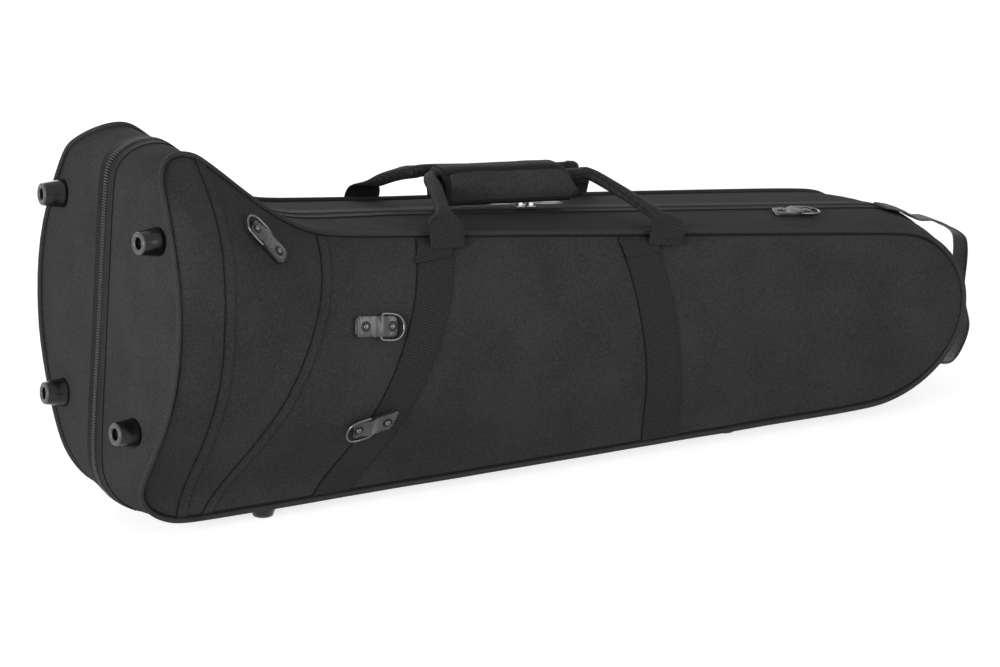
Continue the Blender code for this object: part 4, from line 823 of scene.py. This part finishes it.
def seams(half):
    """The two stitched bands round the bell end of a face."""
    size = settings()
    for word, foot, top in (("bell", size.bell_seam_foot, size.bell_seam_top),
                            ("mid", size.mid_seam_foot, size.mid_seam_top)):
        sewn_band(half, "seam_" + word, "seam_band", "woven_nylon", foot, top, size.seam_width,
                  size.seam_thickness, SEAM_SETBACK, BAND_ROWS, SEAM_HEM, SEAM_STITCH_SETBACK)


def flat_seat(node, towards=None):
    """The middle, normal and frame of a CAD node's largest flat: local Z points away from it."""
    bm = merged(node)
    bm.normal_update()
    groups = {}
    for face in bm.faces:
        key = tuple(round(c, 2) for c in face.normal)
        area, middle = groups.get(key, (0.0, Vector()))
        groups[key] = (area + face.calc_area(), middle + face.calc_center_median() * face.calc_area())
    key, (area, middle) = max(groups.items(), key=lambda item: item[1][0])
    best = max((f for f in bm.faces if tuple(round(c, 2) for c in f.normal) == key),
               key=lambda f: f.calc_area())
    up = -best.normal.copy()
    at = middle / area
    bm.free()
    if towards is None:
        towards = at + Vector((1, 0, 0)) if abs(up.x) < 0.9 else at + Vector((0, 1, 0))
    forward = towards - at
    forward = (forward - up * forward.dot(up)).normalized()
    return Matrix.Translation(at) @ Matrix((forward, up.cross(forward), up)).transposed().to_4x4()


def turned(profile, steps, matrix):
    """A shape turned round its own Z from a profile of (radius, height) that starts and ends on it."""
    bm = bmesh.new()
    verts = [bm.verts.new((r, 0.0, z)) for r, z in profile]
    edges = [bm.edges.new(pair) for pair in zip(verts, verts[1:])]
    bmesh.ops.spin(bm, geom=verts + edges, cent=(0, 0, 0), axis=(0, 0, 1), dvec=(0, 0, 0),
                   angle=math.tau, steps=steps, use_merge=True)
    bmesh.ops.remove_doubles(bm, verts=bm.verts[:], dist=0.000001)
    bmesh.ops.transform(bm, matrix=matrix, verts=bm.verts[:])
    bmesh.ops.recalc_face_normals(bm, faces=bm.faces[:])
    return bm


def rolled_tip(middle, band, seat, lift, matrix):
    """The foot's rolled tip: a ring round local Z, oval in section, drawn pale as a painted highlight on
    its rounded edge.
    """
    sections = []
    for around in turns(40):
        out = Vector((math.cos(around), math.sin(around), 0.0))
        sections.append([matrix @ (out * (middle + band * math.cos(angle))
                                   + Vector((0.0, 0.0, seat + lift * math.sin(angle))))
                         for angle in turns(10)])
    return swept(sections, closed=True)


def feet(half):
    """Moulded feet: a flared body, a rolled tip and a deep recess with the screw's head in it."""
    prefix, _, body = half
    for word in ("end_foot_high", "end_foot_low", "base_foot_bell", "base_foot_tail"):
        node = prefix + "_" + word
        matrix = flat_seat(node)
        corners = [matrix.inverted() @ v.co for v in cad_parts[node].data.vertices]
        tall = max(c.z for c in corners)
        wide = max(math.hypot(c.x, c.y) for c in corners)
        tip = wide * 0.82
        hole = wide * 0.43
        lip = tall - 0.0016
        deep = tall - min(0.0072, tall * 0.6)
        profile = [(0.0, -0.0012), (wide * 1.02, -0.0012), (wide * 1.03, 0.0006), (wide * 0.985, 0.0022),
                   (wide * 0.93, tall * 0.45), (tip * 1.01, tall - 0.0028), (tip * 0.97, lip),
                   (hole, lip), (hole * 0.96, deep + 0.0004), (hole * 0.88, deep), (0.0, deep)]
        add_piece(f"{prefix}_moulded_{word}", turned(profile, 48, matrix), "moulded_abs", body,
                  [node], 50)
        band = (tip - hole) / 2
        lift = min(band, 0.0019)
        # The pale tip is a painted highlight on the rounded rim.
        ring = rolled_tip((tip + hole) / 2, band, tall - lift, lift, matrix)
        add_piece(f"{prefix}_rim_{word}", ring, "worn_abs", body, (), 50)
        head = hole * 0.72
        profile = [(0.0, deep - 0.0004), (head, deep - 0.0004), (head, deep + 0.0006),
                   (head * 0.8, deep + 0.0014), (head * 0.3, deep + 0.0018), (0.0, deep + 0.0018)]
        add_piece(f"{prefix}_screw_{word}", turned(profile, 24, matrix), "black_nickel", body)


def tab_outline(point):
    """Half-rounded strip in its own plane; point shears its far end into a slanting tip."""
    front, side, curve = TAB_FRONT - TAB_CORNER, TAB_HALF - TAB_CORNER, TAB_CORNER
    angles = [math.pi / 2 * step / 4 for step in range(5)]
    corners = [(front + curve * math.sin(angle), -side - curve * math.cos(angle)) for angle in angles]
    corners += [(front + curve * math.cos(angle), side + curve * math.sin(angle)) for angle in angles]
    cut, shear, shorter = 0.003, 0.0045, 0.0020
    for x, y in ((-TAB_BACK + cut, TAB_HALF), (-TAB_BACK, TAB_HALF - cut),
                 (-TAB_BACK, -TAB_HALF + cut), (-TAB_BACK + cut, -TAB_HALF)):
        corners.append((x + point * (y / TAB_HALF) * shear + abs(point) * shorter, y))
    return corners


def tab_height(x):
    """Height of the strip's top over the cloth: a hump over the ring's bar, a crown behind it."""
    rise = soft_step(1 - abs(x) / HUMP_REACH, 0.0, 1.0)
    crown = CROWN * max(1 - ((x - RIVETS[0][1]) / CROWN_REACH) ** 2, 0.0)
    return TAB_THICK + (TAB_HUMP - TAB_THICK) * rise + crown


def tab(word, point):
    """A leatherette strip folded over the ring's bar and held by two rivets."""
    node = "tab_" + word
    low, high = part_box("ring_" + word)
    matrix = flat_seat(node, (low + high) / 2) @ Matrix.Translation((0.005, 0.0, 0.0))
    bm = bmesh.new()
    face = bm.faces.new([bm.verts.new((x, y, 0.0)) for x, y in tab_outline(point)])
    bmesh.ops.triangulate(bm, faces=[face])
    for x in TAB_CUTS:
        bmesh.ops.bisect_plane(bm, geom=bm.verts[:] + bm.edges[:] + bm.faces[:], plane_co=(x, 0, 0),
                               plane_no=(1, 0, 0))
    made = bmesh.ops.extrude_face_region(bm, geom=bm.faces[:])
    for vert in made["geom"]:
        if isinstance(vert, bmesh.types.BMVert):
            vert.co.z = tab_height(vert.co.x)
    bmesh.ops.dissolve_limit(bm, angle_limit=math.radians(0.5), verts=bm.verts[:], edges=bm.edges[:])
    bmesh.ops.recalc_face_normals(bm, faces=bm.faces[:])
    bm.normal_update()
    sharp = [e for e in edges_over(bm, 60) if min(v.co.z for v in e.verts) > 0.001]
    bmesh.ops.bevel(bm, geom=sharp, offset=0.0007, offset_type="OFFSET", segments=3, profile=0.5,
                    affect="EDGES", material=-1)
    bmesh.ops.transform(bm, matrix=matrix, verts=bm.verts[:])
    add_piece("leather_" + node, bm, "leatherette", "base", [node], 35)
    for spot, x in RIVETS:
        seat = matrix @ Matrix.Translation((x, 0.0, tab_height(x) - TAB_THICK))
        for part, profile, finish in (("rivet_collar", RIVET_COLLAR, "blackened_steel"),
                                      ("rivet", RIVET_DOME, "black_nickel")):
            add_piece(f"{part}_{word}_{spot}", turned(profile, 32, seat), finish, "base",
                      (), 35)
    bm = bmesh.new()
    inner = [(x * 0.93 - 0.0004, y * 0.84) for x, y in tab_outline(point)]
    points = [matrix @ Vector((x, y, tab_height(x))) for x, y in inner + inner[:1]]
    normals = [matrix.to_3x3() @ Vector((0, 0, 1))] * len(points)
    stitch_path(bm, points, normals, TAB_STITCH)
    stitch_piece("stitches_" + node, bm, "base")


def d_ring(word):
    smooth_copy("ring_" + word, "d_ring_" + word, "black_nickel", word + "_ring",
                crease_angle=100, swell=0.00025)


def loft_rows(node, around):
    """The rings of vertices of a CAD loft, from one end cap to the other."""
    flat = merged(node)
    bmesh.ops.dissolve_limit(flat, angle_limit=math.radians(0.5), verts=flat.verts[:],
                             edges=flat.edges[:])
    caps = sorted((f for f in flat.faces if len(f.verts) == around), key=lambda f: f.calc_area())
    cap = min(caps[:2], key=lambda f: f.calc_center_median().x)
    spots = [v.co.copy() for v in cap.verts]
    flat.free()
    bm = merged(node)
    ring = [min(bm.verts, key=lambda v: (v.co - spot).length) for spot in spots]
    seen = set(ring)
    rows = [[v.co.copy() for v in ring]]
    while nearby := set(e.other_vert(v) for v in ring for e in v.link_edges) - seen:
        seen |= nearby
        ring = [min(nearby, key=lambda v: (v.co - rows[-1][0]).length)]
        left = nearby - set(ring)
        while left:
            linked = [v for v in left if any(e.other_vert(ring[-1]) == v for e in v.link_edges)]
            if not linked:
                raise RuntimeError(f"{node}'s ring {len(rows)} isn't joined up")
            goal = rows[-1][1] if len(ring) == 1 else ring[-1].co
            ring.append(min(linked, key=lambda v: (v.co - goal).length))
            left.discard(ring[-1])
        rows.append([v.co.copy() for v in ring])
    bm.free()
    return rows


def webbing_rows(node):
    """Middle, width direction, width and thickness at each ring of a CAD ribbon."""
    rows = []
    last = None
    rings = loft_rows(node, 8)
    middles = [sum(ring, Vector()) / len(ring) for ring in rings]
    for k, ring in enumerate(rings):
        ahead = (middles[min(k + 1, len(rings) - 1)] - middles[max(k - 1, 0)]).normalized()
        spans = [(a - b, (a - b).length) for i, a in enumerate(ring) for b in ring[i + 1:]]
        flat_sides = sorted(spans, key=lambda s: -s[1])[:4]
        wide = flat_sides[0][0]
        for way, _ in flat_sides[1:]:
            wide = wide + (way if way.dot(wide) > 0 else -way)
        wide = (wide - ahead * wide.dot(ahead)).normalized()
        if last is not None and wide.dot(last) < 0:
            wide = -wide
        last = wide
        up = ahead.cross(wide).normalized()
        width = max((p - middles[k]).dot(wide) for p in ring) * 2
        thick = max((p - middles[k]).dot(up) for p in ring) * 2
        rows.append((middles[k], wide, width, thick))
    return rows


def even_rows(rows, count):
    """The rows smoothed along their path and spaced evenly, as many as asked."""
    fine = []
    for k in range(len(rows) - 1):
        four = rows[max(k - 1, 0)], rows[k], rows[k + 1], rows[min(k + 2, len(rows) - 1)]
        for t in parts(8):
            fine.append([0.5 * (2 * b + (c - a) * t + (2 * a - 5 * b + 4 * c - d) * t * t
                                + (3 * b - a - 3 * c + d) * t ** 3)
                         for a, b, c, d in zip(*four)])
    fine.append(list(rows[-1]))
    lengths = [0.0]
    for a, b in zip(fine, fine[1:]):
        lengths.append(lengths[-1] + (b[0] - a[0]).length)
    out = []
    k = 0
    for step in range(count):
        goal = lengths[-1] * step / (count - 1)
        while k < len(lengths) - 2 and lengths[k + 1] < goal:
            k += 1
        t = (goal - lengths[k]) / max(lengths[k + 1] - lengths[k], MERGE)
        middle, wide, width, thick = [a + (b - a) * t for a, b in zip(fine[k], fine[k + 1])]
        out.append((middle, wide.normalized(), width, thick, goal))
    return out


def webbing_section(row, up, angle):
    """A point round webbing: a flat strip, or a folded roll with a groove where it is thick."""
    middle, wide, width, thick, _ = row
    rolled = soft_step(thick, 0.003, 0.007)
    cosine, sine = math.cos(angle), math.sin(angle)
    across = math.copysign(abs(cosine) ** (0.30 + 0.45 * rolled), cosine) * width / 2
    lift = math.copysign(abs(sine) ** (0.55 + 0.2 * rolled), sine) * thick / 2
    groove = math.exp(-((angle - 1.15) / 0.24) ** 2) * 0.30 * rolled
    return middle + wide * across * (1 - groove) + up * lift * (1 - groove), across, lift


def webbing_band(name, body, finish, rows, replaced):
    """A length of webbing lofted along its rows, with its own map in metres."""
    sections, marks = [], []
    for k, row in enumerate(rows):
        ahead = (rows[min(k + 1, len(rows) - 1)][0] - rows[max(k - 1, 0)][0]).normalized()
        up = ahead.cross(row[1]).normalized()
        points = []
        for angle in turns(WEBBING_SIDES):
            point, across, lift = webbing_section(row, up, angle)
            points.append(point)
            marks.append((across + (0.02 if lift < 0 else 0.0), row[4]))
        sections.append(points)
    add_piece(name, swept(sections, marks=marks), finish, body, replaced, 60)


def patch_stitches(name, rows, body, start, end, hem, outward):
    """A box of stitches with its cross, sewn through webbing between two rows, on its outward side."""
    chosen = rows[start:end]
    spread = rows[start][2] / 2 - hem
    ahead = (rows[start + 1][0] - rows[start][0]).normalized()
    face_way = 1 if ahead.cross(rows[start][1]).dot(outward) > 0 else -1

    def spot(row_share, across):
        k = min(int(row_share * (len(chosen) - 1)), len(chosen) - 2)
        t = row_share * (len(chosen) - 1) - k
        low, high = chosen[k], chosen[k + 1]
        ahead = (high[0] - low[0]).normalized()
        up = ahead.cross(low[1]).normalized() * face_way
        thick = low[3] + (high[3] - low[3]) * t
        return low[0].lerp(high[0], t) + low[1] * across + up * thick / 2, up

    corners = ((0.0, -spread), (0.0, spread), (1.0, spread), (1.0, -spread), (0.0, -spread),
               (1.0, spread), (1.0, -spread), (0.0, spread))
    spots = [spot(s0 + (s1 - s0) * t, a0 + (a1 - a0) * t)
             for (s0, a0), (s1, a1) in zip(corners, corners[1:])
             for t in parts(8)]
    bm = bmesh.new()
    stitch_path(bm, [point for point, _ in spots], [up for _, up in spots],
                settings().stitch_pitch * 0.85)
    stitch_piece(name, bm, body)


def gathered(rows):
    """The rows of a loop with its webbing folded into a roll soon above each foot."""
    size = settings()
    total = rows[-1][4]
    out = []
    for middle, wide, width, thick, run in rows:
        share = soft_step(min(run, total - run), size.fold_start, size.fold_end)
        out.append((middle, wide, width + (min(size.roll_width, width) - width) * share,
                    thick + (max(size.roll_thickness, thick) - thick) * share, run))
    return out


def handle_loops():
    """Both handle loops: flat webbing at their feet, folded into a roll towards the grip."""
    for prefix, side, _ in HALVES:
        node, body = prefix + "_loop", prefix + "_handle"
        rows = gathered(even_rows(webbing_rows(node), HANDLE_ROWS))
        webbing_band("webbing_" + node, body, "ribbed_webbing", rows, [node])
        for word, start, end in (("bell", 2, 9), ("tail", HANDLE_ROWS - 9, HANDLE_ROWS - 2)):
            patch_stitches(f"stitches_{node}_{word}", rows, body, start, end, 0.005,
                           Vector((0, side, 0)))


def laid_down(row, share):
    """The row drawn down onto the covers by a share of the way, as sewn webbing lies."""
    middle, wide, width, thick, run = row
    hits = [SKINS[prefix].find_nearest(middle) for prefix in ("near", "far")]
    hit, normal, _, _ = min(hits, key=lambda h: h[3])
    seat = hit + normal * (thick / 2 + settings().tape_stack)
    return middle.lerp(Vector((seat.x, middle.y, seat.z)), share), wide, width, thick, run


def tail_handle():
    """The tail loop: flat webbing that lies on the cloth at its upper end, then stands off."""
    size = settings()
    rows = even_rows(webbing_rows("tail_loop"), TAIL_ROWS)
    if rows[0][0].z < rows[-1][0].z:
        rows = [(*row[:4], rows[-1][4] - row[4]) for row in reversed(rows)]
    rows = [laid_down(row, 1 - soft_step(row[4], size.tail_loop_lies, size.tail_loop_lifts))
            for row in rows if row[4] > size.tail_loop_start]
    webbing_band("webbing_tail_loop", "base", "tail_webbing", rows, ["tail_loop"])
    patch_stitches("stitches_tail_loop", rows, "base", 1, 8, 0.003, Vector((0, 0, 1)))


class GripForm:
    """The padded wrap as a bent panel: places on it by its length and by its way round."""

    # Its slope and half length, its reach to either side, the fall of its sides, and their bend.
    slope = math.atan(0.12)
    half = 0.078
    reach = 0.0158
    fall = 0.0298
    bend = 0.0120
    flat = reach - bend
    arc = bend * math.pi / 2
    girth = 2 * (flat + arc + (fall - bend))
    # How far the ends draw in at the lower and upper edges, and how the tail end rises and droops.
    draw_low, draw_high, draw_bell = 0.013, 0.008, 0.003
    rise = 0.0022
    droop = 0.0190
    droop_start = 0.62

    def __init__(self):
        low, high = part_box("grip")
        top = high.z - 0.075 * math.sin(self.slope) - 0.0045
        self.matrix = (Matrix.Translation(((low.x + high.x) / 2, 0.0, top))
                       @ Matrix.Rotation(self.slope, 4, "Y"))

    def section(self, share):
        """Place (y, z) and outward normal at a share of the way from the front edge to the back."""
        run = abs(share - 0.5) * self.girth
        way = 1 if share > 0.5 else -1
        if run <= self.flat:
            return (way * run, 0.0), (0.0, 1.0)
        if run <= self.flat + self.arc:
            angle = (run - self.flat) / self.bend
            sine, cosine = math.sin(angle), math.cos(angle)
            y = way * (self.flat + self.bend * sine)
            return (y, -self.bend * (1 - cosine)), (way * sine, cosine)
        return (way * self.reach, -self.bend - (run - self.flat - self.arc)), (way, 0.0)

    def spot(self, along, share, lift):
        """A point of the panel; its ends are drawn in, and its tail end droops."""
        (y, z), (ny, nz) = self.section(share)
        low = soft_step(-z, 0.012, self.fall)
        high = 1 - soft_step(-z, 0.0, 0.016)
        drawn = self.draw_low * low + self.draw_high * high if along > 0 else self.draw_bell * low
        x = along * (self.half - drawn * abs(along) ** 3)
        end = max(along - self.droop_start, 0.0) / 0.38
        z = (self.fall + z) * (1 - self.droop * end ** 2.1 / self.fall) - self.fall
        return self.matrix @ Vector((x, y + ny * lift, z + nz * lift + self.rise * along))


def grip_panel(form, name, finish, shares, lift, puff, replaced=()):
    """A padded panel of the wrap between two shares of the way round, crowned between its edges."""
    def place_of(vert):
        return round(vert.co.x, 4), round(vert.co.y, 4)

    bm = bmesh.new()
    made = bmesh.ops.create_grid(bm, x_segments=44, y_segments=40, size=0.5)
    under = {v: (v.co.x * 2, v.co.y + 0.5) for v in made["verts"]}
    uses = {place_of(v): use for v, use in under.items()}
    grown = bmesh.ops.extrude_face_region(bm, geom=bm.faces[:])
    outer = {v: uses[place_of(v)] for v in grown["geom"] if isinstance(v, bmesh.types.BMVert)}
    for vert, (along, own) in [*under.items(), *outer.items()]:
        share = shares[0] + (shares[1] - shares[0]) * own
        edge = min(soft_step(1 - abs(along), 0.0, 0.16), soft_step(0.5 - abs(own - 0.5), 0.0, 0.14))
        if vert in outer:
            soft = noise.noise(Vector((along * 3.0, share * 5.0, 1.7))) * 0.0006
            crease = -0.0010 * math.exp(-((share - 0.27) / 0.025) ** 2)
            vert.co = form.spot(along, share, lift + 0.0012 + (puff + soft + crease) * edge)
        else:
            vert.co = form.spot(along, share, -0.0012 - 0.0022 * edge)
    bmesh.ops.recalc_face_normals(bm, faces=bm.faces[:])
    obj = add_piece(name, bm, finish, "near_handle", replaced, 60)


def grip_binding(form):
    """The binding round all four edges of the wrap, thicker along its two ends."""
    longs = [-1 + 2 * step / BINDING_LONG for step in range(BINDING_LONG)]
    shorts = parts(BINDING_SHORT)
    path = [(along, 0.0) for along in longs] + [(1.0, share) for share in shorts]
    path += [(-along, 1.0) for along in longs] + [(-1.0, 1 - share) for share in shorts]
    edge, beyond, margin = 0.995, 1.03, 0.004
    inset, inset_share = 0.0035, 0.4
    sections = []
    for along, share in path:
        own = min(max(share, margin), 1 - margin)
        middle = form.spot(along * edge, own, 0.0)
        outward = form.spot(along * beyond, own, 0.0) - middle if abs(along) == 1 else Vector((0, 0, -1))
        out = outward.normalized()
        up = (form.spot(along * edge, own, 0.001) - middle).normalized()
        ended = soft_step(abs(along), 0.93, 1.0)
        reach, thick = 0.0034 + 0.0012 * ended, 0.0026 + 0.0008 * ended
        if abs(along) == 1 and share in (0.0, 1.0):
            reach, thick = 0.003, 0.0026
        sections.append([middle - out * inset * inset_share + out * math.cos(angle) * reach
                         + up * math.sin(angle) * thick
                         for angle in turns(12)])
    add_piece("grip_binding", swept(sections, closed=True), "grip_twill", "near_handle",
              (), 60)


def padded_grip():
    """The wrap over the near loop: a foam panel with a darker ridge, bound round all four edges."""
    form = GripForm()
    grip_panel(form, "padded_grip", "woven_nylon", (0.0, 1.0), 0.0, 0.0030, ["grip"])
    grip_panel(form, "grip_ridge", "grip_twill", (0.35, 0.65), 0.0030, 0.0010)
    grip_binding(form)


def foam_block(node, name, body, offset):
    block = bevelled_copy(node, name, "plush_pile", body, offset)


def inside():
    """Plush lining of both halves, foam rests, mouthpiece block, and the box with its cover."""
    for prefix, _, body in HALVES:
        lining = smooth_copy(prefix + "_lining", prefix + "_plush_lining", "plush_pile", body)
        for word in ("bell_rest", "neck_rest", "slide_rest", "tail_rest"):
            foam_block(f"{prefix}_{word}", f"{prefix}_plush_{word}", body, 0.0022)
    for node in ("mouthpiece_block", "accessory_box"):
        foam_block(node, "plush_" + node, "base", 0.0015)
    foam_block("accessory_cover", "plush_cover", "box_cover", 0.0010)
    low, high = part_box("accessory_cover")
    middle = Vector(((low.x + high.x) / 2, high.y + 0.0006, high.z - 0.003))
    bm = bmesh.new()
    bmesh.ops.create_cube(bm, size=1.0)
    bmesh.ops.scale(bm, vec=(0.018, 0.0012, 0.022), verts=bm.verts[:])
    bmesh.ops.translate(bm, vec=middle + Vector((0, 0, -0.006)), verts=bm.verts[:])
    bmesh.ops.bevel(bm, geom=bm.edges[:], offset=0.0004, offset_type="OFFSET", segments=2,
                    profile=0.5, affect="EDGES", material=-1)
    add_piece("cover_pull_tab", bm, "leatherette", "box_cover", (), 50)


def zipper_hardware():
    """The two sliders and their pulls, in bright nickel."""
    for word in ("bell", "tail"):
        for part, offset in (("slider", 0.0004), ("pull", 0.0003)):
            bevelled_copy(f"{part}_{word}", f"nickel_{part}_{word}", "bright_nickel", f"{word}_{part}",
                          offset, 2)


def seen_directly(tree):
    """1 for a ray from the camera or one that a reflection or glass sends on, and 0 for the others."""
    rays = add_node(tree, "LightPath", {}).node.outputs
    seen = rays["Is Camera Ray"]
    for other in ("Is Glossy Ray", "Is Transmission Ray"):
        seen = add_node(tree, "Math", {0: seen, 1: rays[other]}, operation="MAXIMUM")
    return seen


def pale_floor(name):
    """Matt white sweep: white to the camera and to reflections, and it takes the object's shadow."""
    made, tree, shader = new_material(name, linear(FLOOR_COLOUR), 0.9, {
        "Specular IOR Level": 0.1, "Emission Color": (1.0, 1.0, 1.0, 1.0)})
    glow = add_node(tree, "Math", {0: seen_directly(tree), 1: FLOOR_GLOW}, operation="MULTIPLY")
    feed(tree, shader, {"Emission Strength": glow})
    return made


def sky():
    """Plain white air: full white where it is seen, and a plain level of light for the rest."""
    world = bpy.data.worlds.new("studio_air")
    world.use_nodes = True
    tree = world.node_tree
    seen = seen_directly(tree)
    level = add_node(tree, "MapRange", {"Value": seen, "To Min": SKY_LEVEL, "To Max": 1.0})
    feed(tree, tree.nodes["Background"], {"Strength": level, "Color": (1.0, 1.0, 1.0, 1.0)})
    bpy.context.scene.world = world


def aimed(obj, at, target):
    """Puts a lamp or the camera in its place and turns it to what it looks at."""
    obj.location = at
    obj.rotation_euler = (Vector(target) - Vector(at)).to_track_quat("-Z", "Y").to_euler()
    return obj


def softbox(name, at, wide, watts):
    lamp = bpy.data.lights.new(name, "AREA")
    lamp.shape = "RECTANGLE"
    lamp.size = wide
    lamp.size_y = wide * 0.7
    lamp.energy = watts
    return aimed(new_object(name, lamp), at, LAMP_AIM)


def studio():
    """White floor, soft lamps and the camera at the photograph's angle."""
    bm = bmesh.new()
    bmesh.ops.create_grid(bm, x_segments=1, y_segments=1, size=9.0)
    mesh = bpy.data.meshes.new("floor")
    bm.to_mesh(mesh)
    bm.free()
    mesh.materials.append(pale_floor("matt_white_floor"))
    floor = new_object("floor", mesh)
    sky()
    lamps = [softbox(*lamp) for lamp in LAMPS]
    lens = bpy.data.cameras.new("camera")
    lens.sensor_width = 36.0
    lens.lens = FOCAL_LENGTH
    lens.clip_end = 50.0
    camera = aimed(new_object("camera", lens), CAMERA_PLACE, CAMERA_AIM)
    bpy.context.scene.camera = camera
    bpy.context.scene.view_settings.view_transform = "Standard"


def for_halves(*jobs):
    """Does the jobs on the near half and then on the far one."""
    for half in HALVES:
        for job in jobs:
            job(half)


class CASE_OT_covers(Operator):
    """Add the cloth-covered shells of both halves"""
    bl_idname = "case.covers"
    bl_label = "Cloth Covers"

    def execute(self, context):
        for_halves(cover)
        return {"FINISHED"}


class CASE_OT_trims(Operator):
    """Add the bound rims, the piping and the tapes"""
    bl_idname = "case.trims"
    bl_label = "Piping and Tapes"

    def execute(self, context):
        for_halves(trim)
        return {"FINISHED"}


class CASE_OT_zipper(Operator):
    """Add the zipper's coil, sliders and pulls"""
    bl_idname = "case.zipper"
    bl_label = "Zipper"

    def execute(self, context):
        for_halves(zipper_coil)
        zipper_hardware()
        return {"FINISHED"}


class CASE_OT_straps(Operator):
    """Add the webbing straps and the stitched seam bands of both faces"""
    bl_idname = "case.straps"
    bl_label = "Straps and Seams"

    def execute(self, context):
        for_halves(straps, loop_patches, seams)
        return {"FINISHED"}


class CASE_OT_feet(Operator):
    """Add the eight moulded feet and their screws"""
    bl_idname = "case.feet"
    bl_label = "Feet"

    def execute(self, context):
        for_halves(feet)
        return {"FINISHED"}


class CASE_OT_tabs(Operator):
    """Add the four leatherette tabs and their D-rings"""
    bl_idname = "case.tabs"
    bl_label = "Tabs and Rings"

    def execute(self, context):
        for word, point in TABS:
            tab(word, point)
            d_ring(word)
        return {"FINISHED"}


class CASE_OT_handles(Operator):
    """Add the two handle loops, the padded grip and the tail loop"""
    bl_idname = "case.handles"
    bl_label = "Handles"

    def execute(self, context):
        handle_loops()
        padded_grip()
        tail_handle()
        return {"FINISHED"}


class CASE_OT_inside(Operator):
    """Add the lining, the foam rests, the mouthpiece block and the accessory box"""
    bl_idname = "case.inside"
    bl_label = "Inside"

    def execute(self, context):
        inside()
        return {"FINISHED"}


class CASE_OT_stage(Operator):
    """Add the floor, the lamps and the camera"""
    bl_idname = "case.stage"
    bl_label = "Stage"

    def execute(self, context):
        studio()
        return {"FINISHED"}


STEPS = (CASE_OT_covers, CASE_OT_trims, CASE_OT_zipper, CASE_OT_straps, CASE_OT_feet, CASE_OT_tabs,
         CASE_OT_handles, CASE_OT_inside, CASE_OT_stage)


class CASE_PT_sidebar(Panel):
    """Sizes, colours and steps of the trombone case's looks"""
    bl_idname = "CASE_PT_sidebar"
    bl_label = "Trombone Case"
    bl_space_type = "VIEW_3D"
    bl_region_type = "UI"
    bl_category = "Case"

    def draw(self, context):
        for group in (context.scene.case_sizes, context.scene.case_colours):
            box = self.layout.box()
            for name in group.bl_rna.properties.keys():
                if name not in {"rna_type", "name"}:
                    box.prop(group, name)
        for step in STEPS:
            self.layout.operator(step.bl_idname)


CLASSES = (CaseColours, CaseSizes, *STEPS, CASE_PT_sidebar)


def register():
    for made in CLASSES:
        bpy.utils.register_class(made)
    bpy.types.Scene.case_sizes = PointerProperty(type=CaseSizes)
    bpy.types.Scene.case_colours = PointerProperty(type=CaseColours)


def unregister():
    del bpy.types.Scene.case_colours
    del bpy.types.Scene.case_sizes
    for made in reversed(CLASSES):
        bpy.utils.unregister_class(made)


def main():
    register()
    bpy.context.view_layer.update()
    bpy.ops.case.covers()
    bpy.ops.case.trims()
    bpy.ops.case.zipper()
    bpy.ops.case.straps()
    bpy.ops.case.feet()
    bpy.ops.case.tabs()
    bpy.ops.case.handles()
    bpy.ops.case.inside()
    bpy.ops.case.stage()


if __name__ == "__main__":
    main()
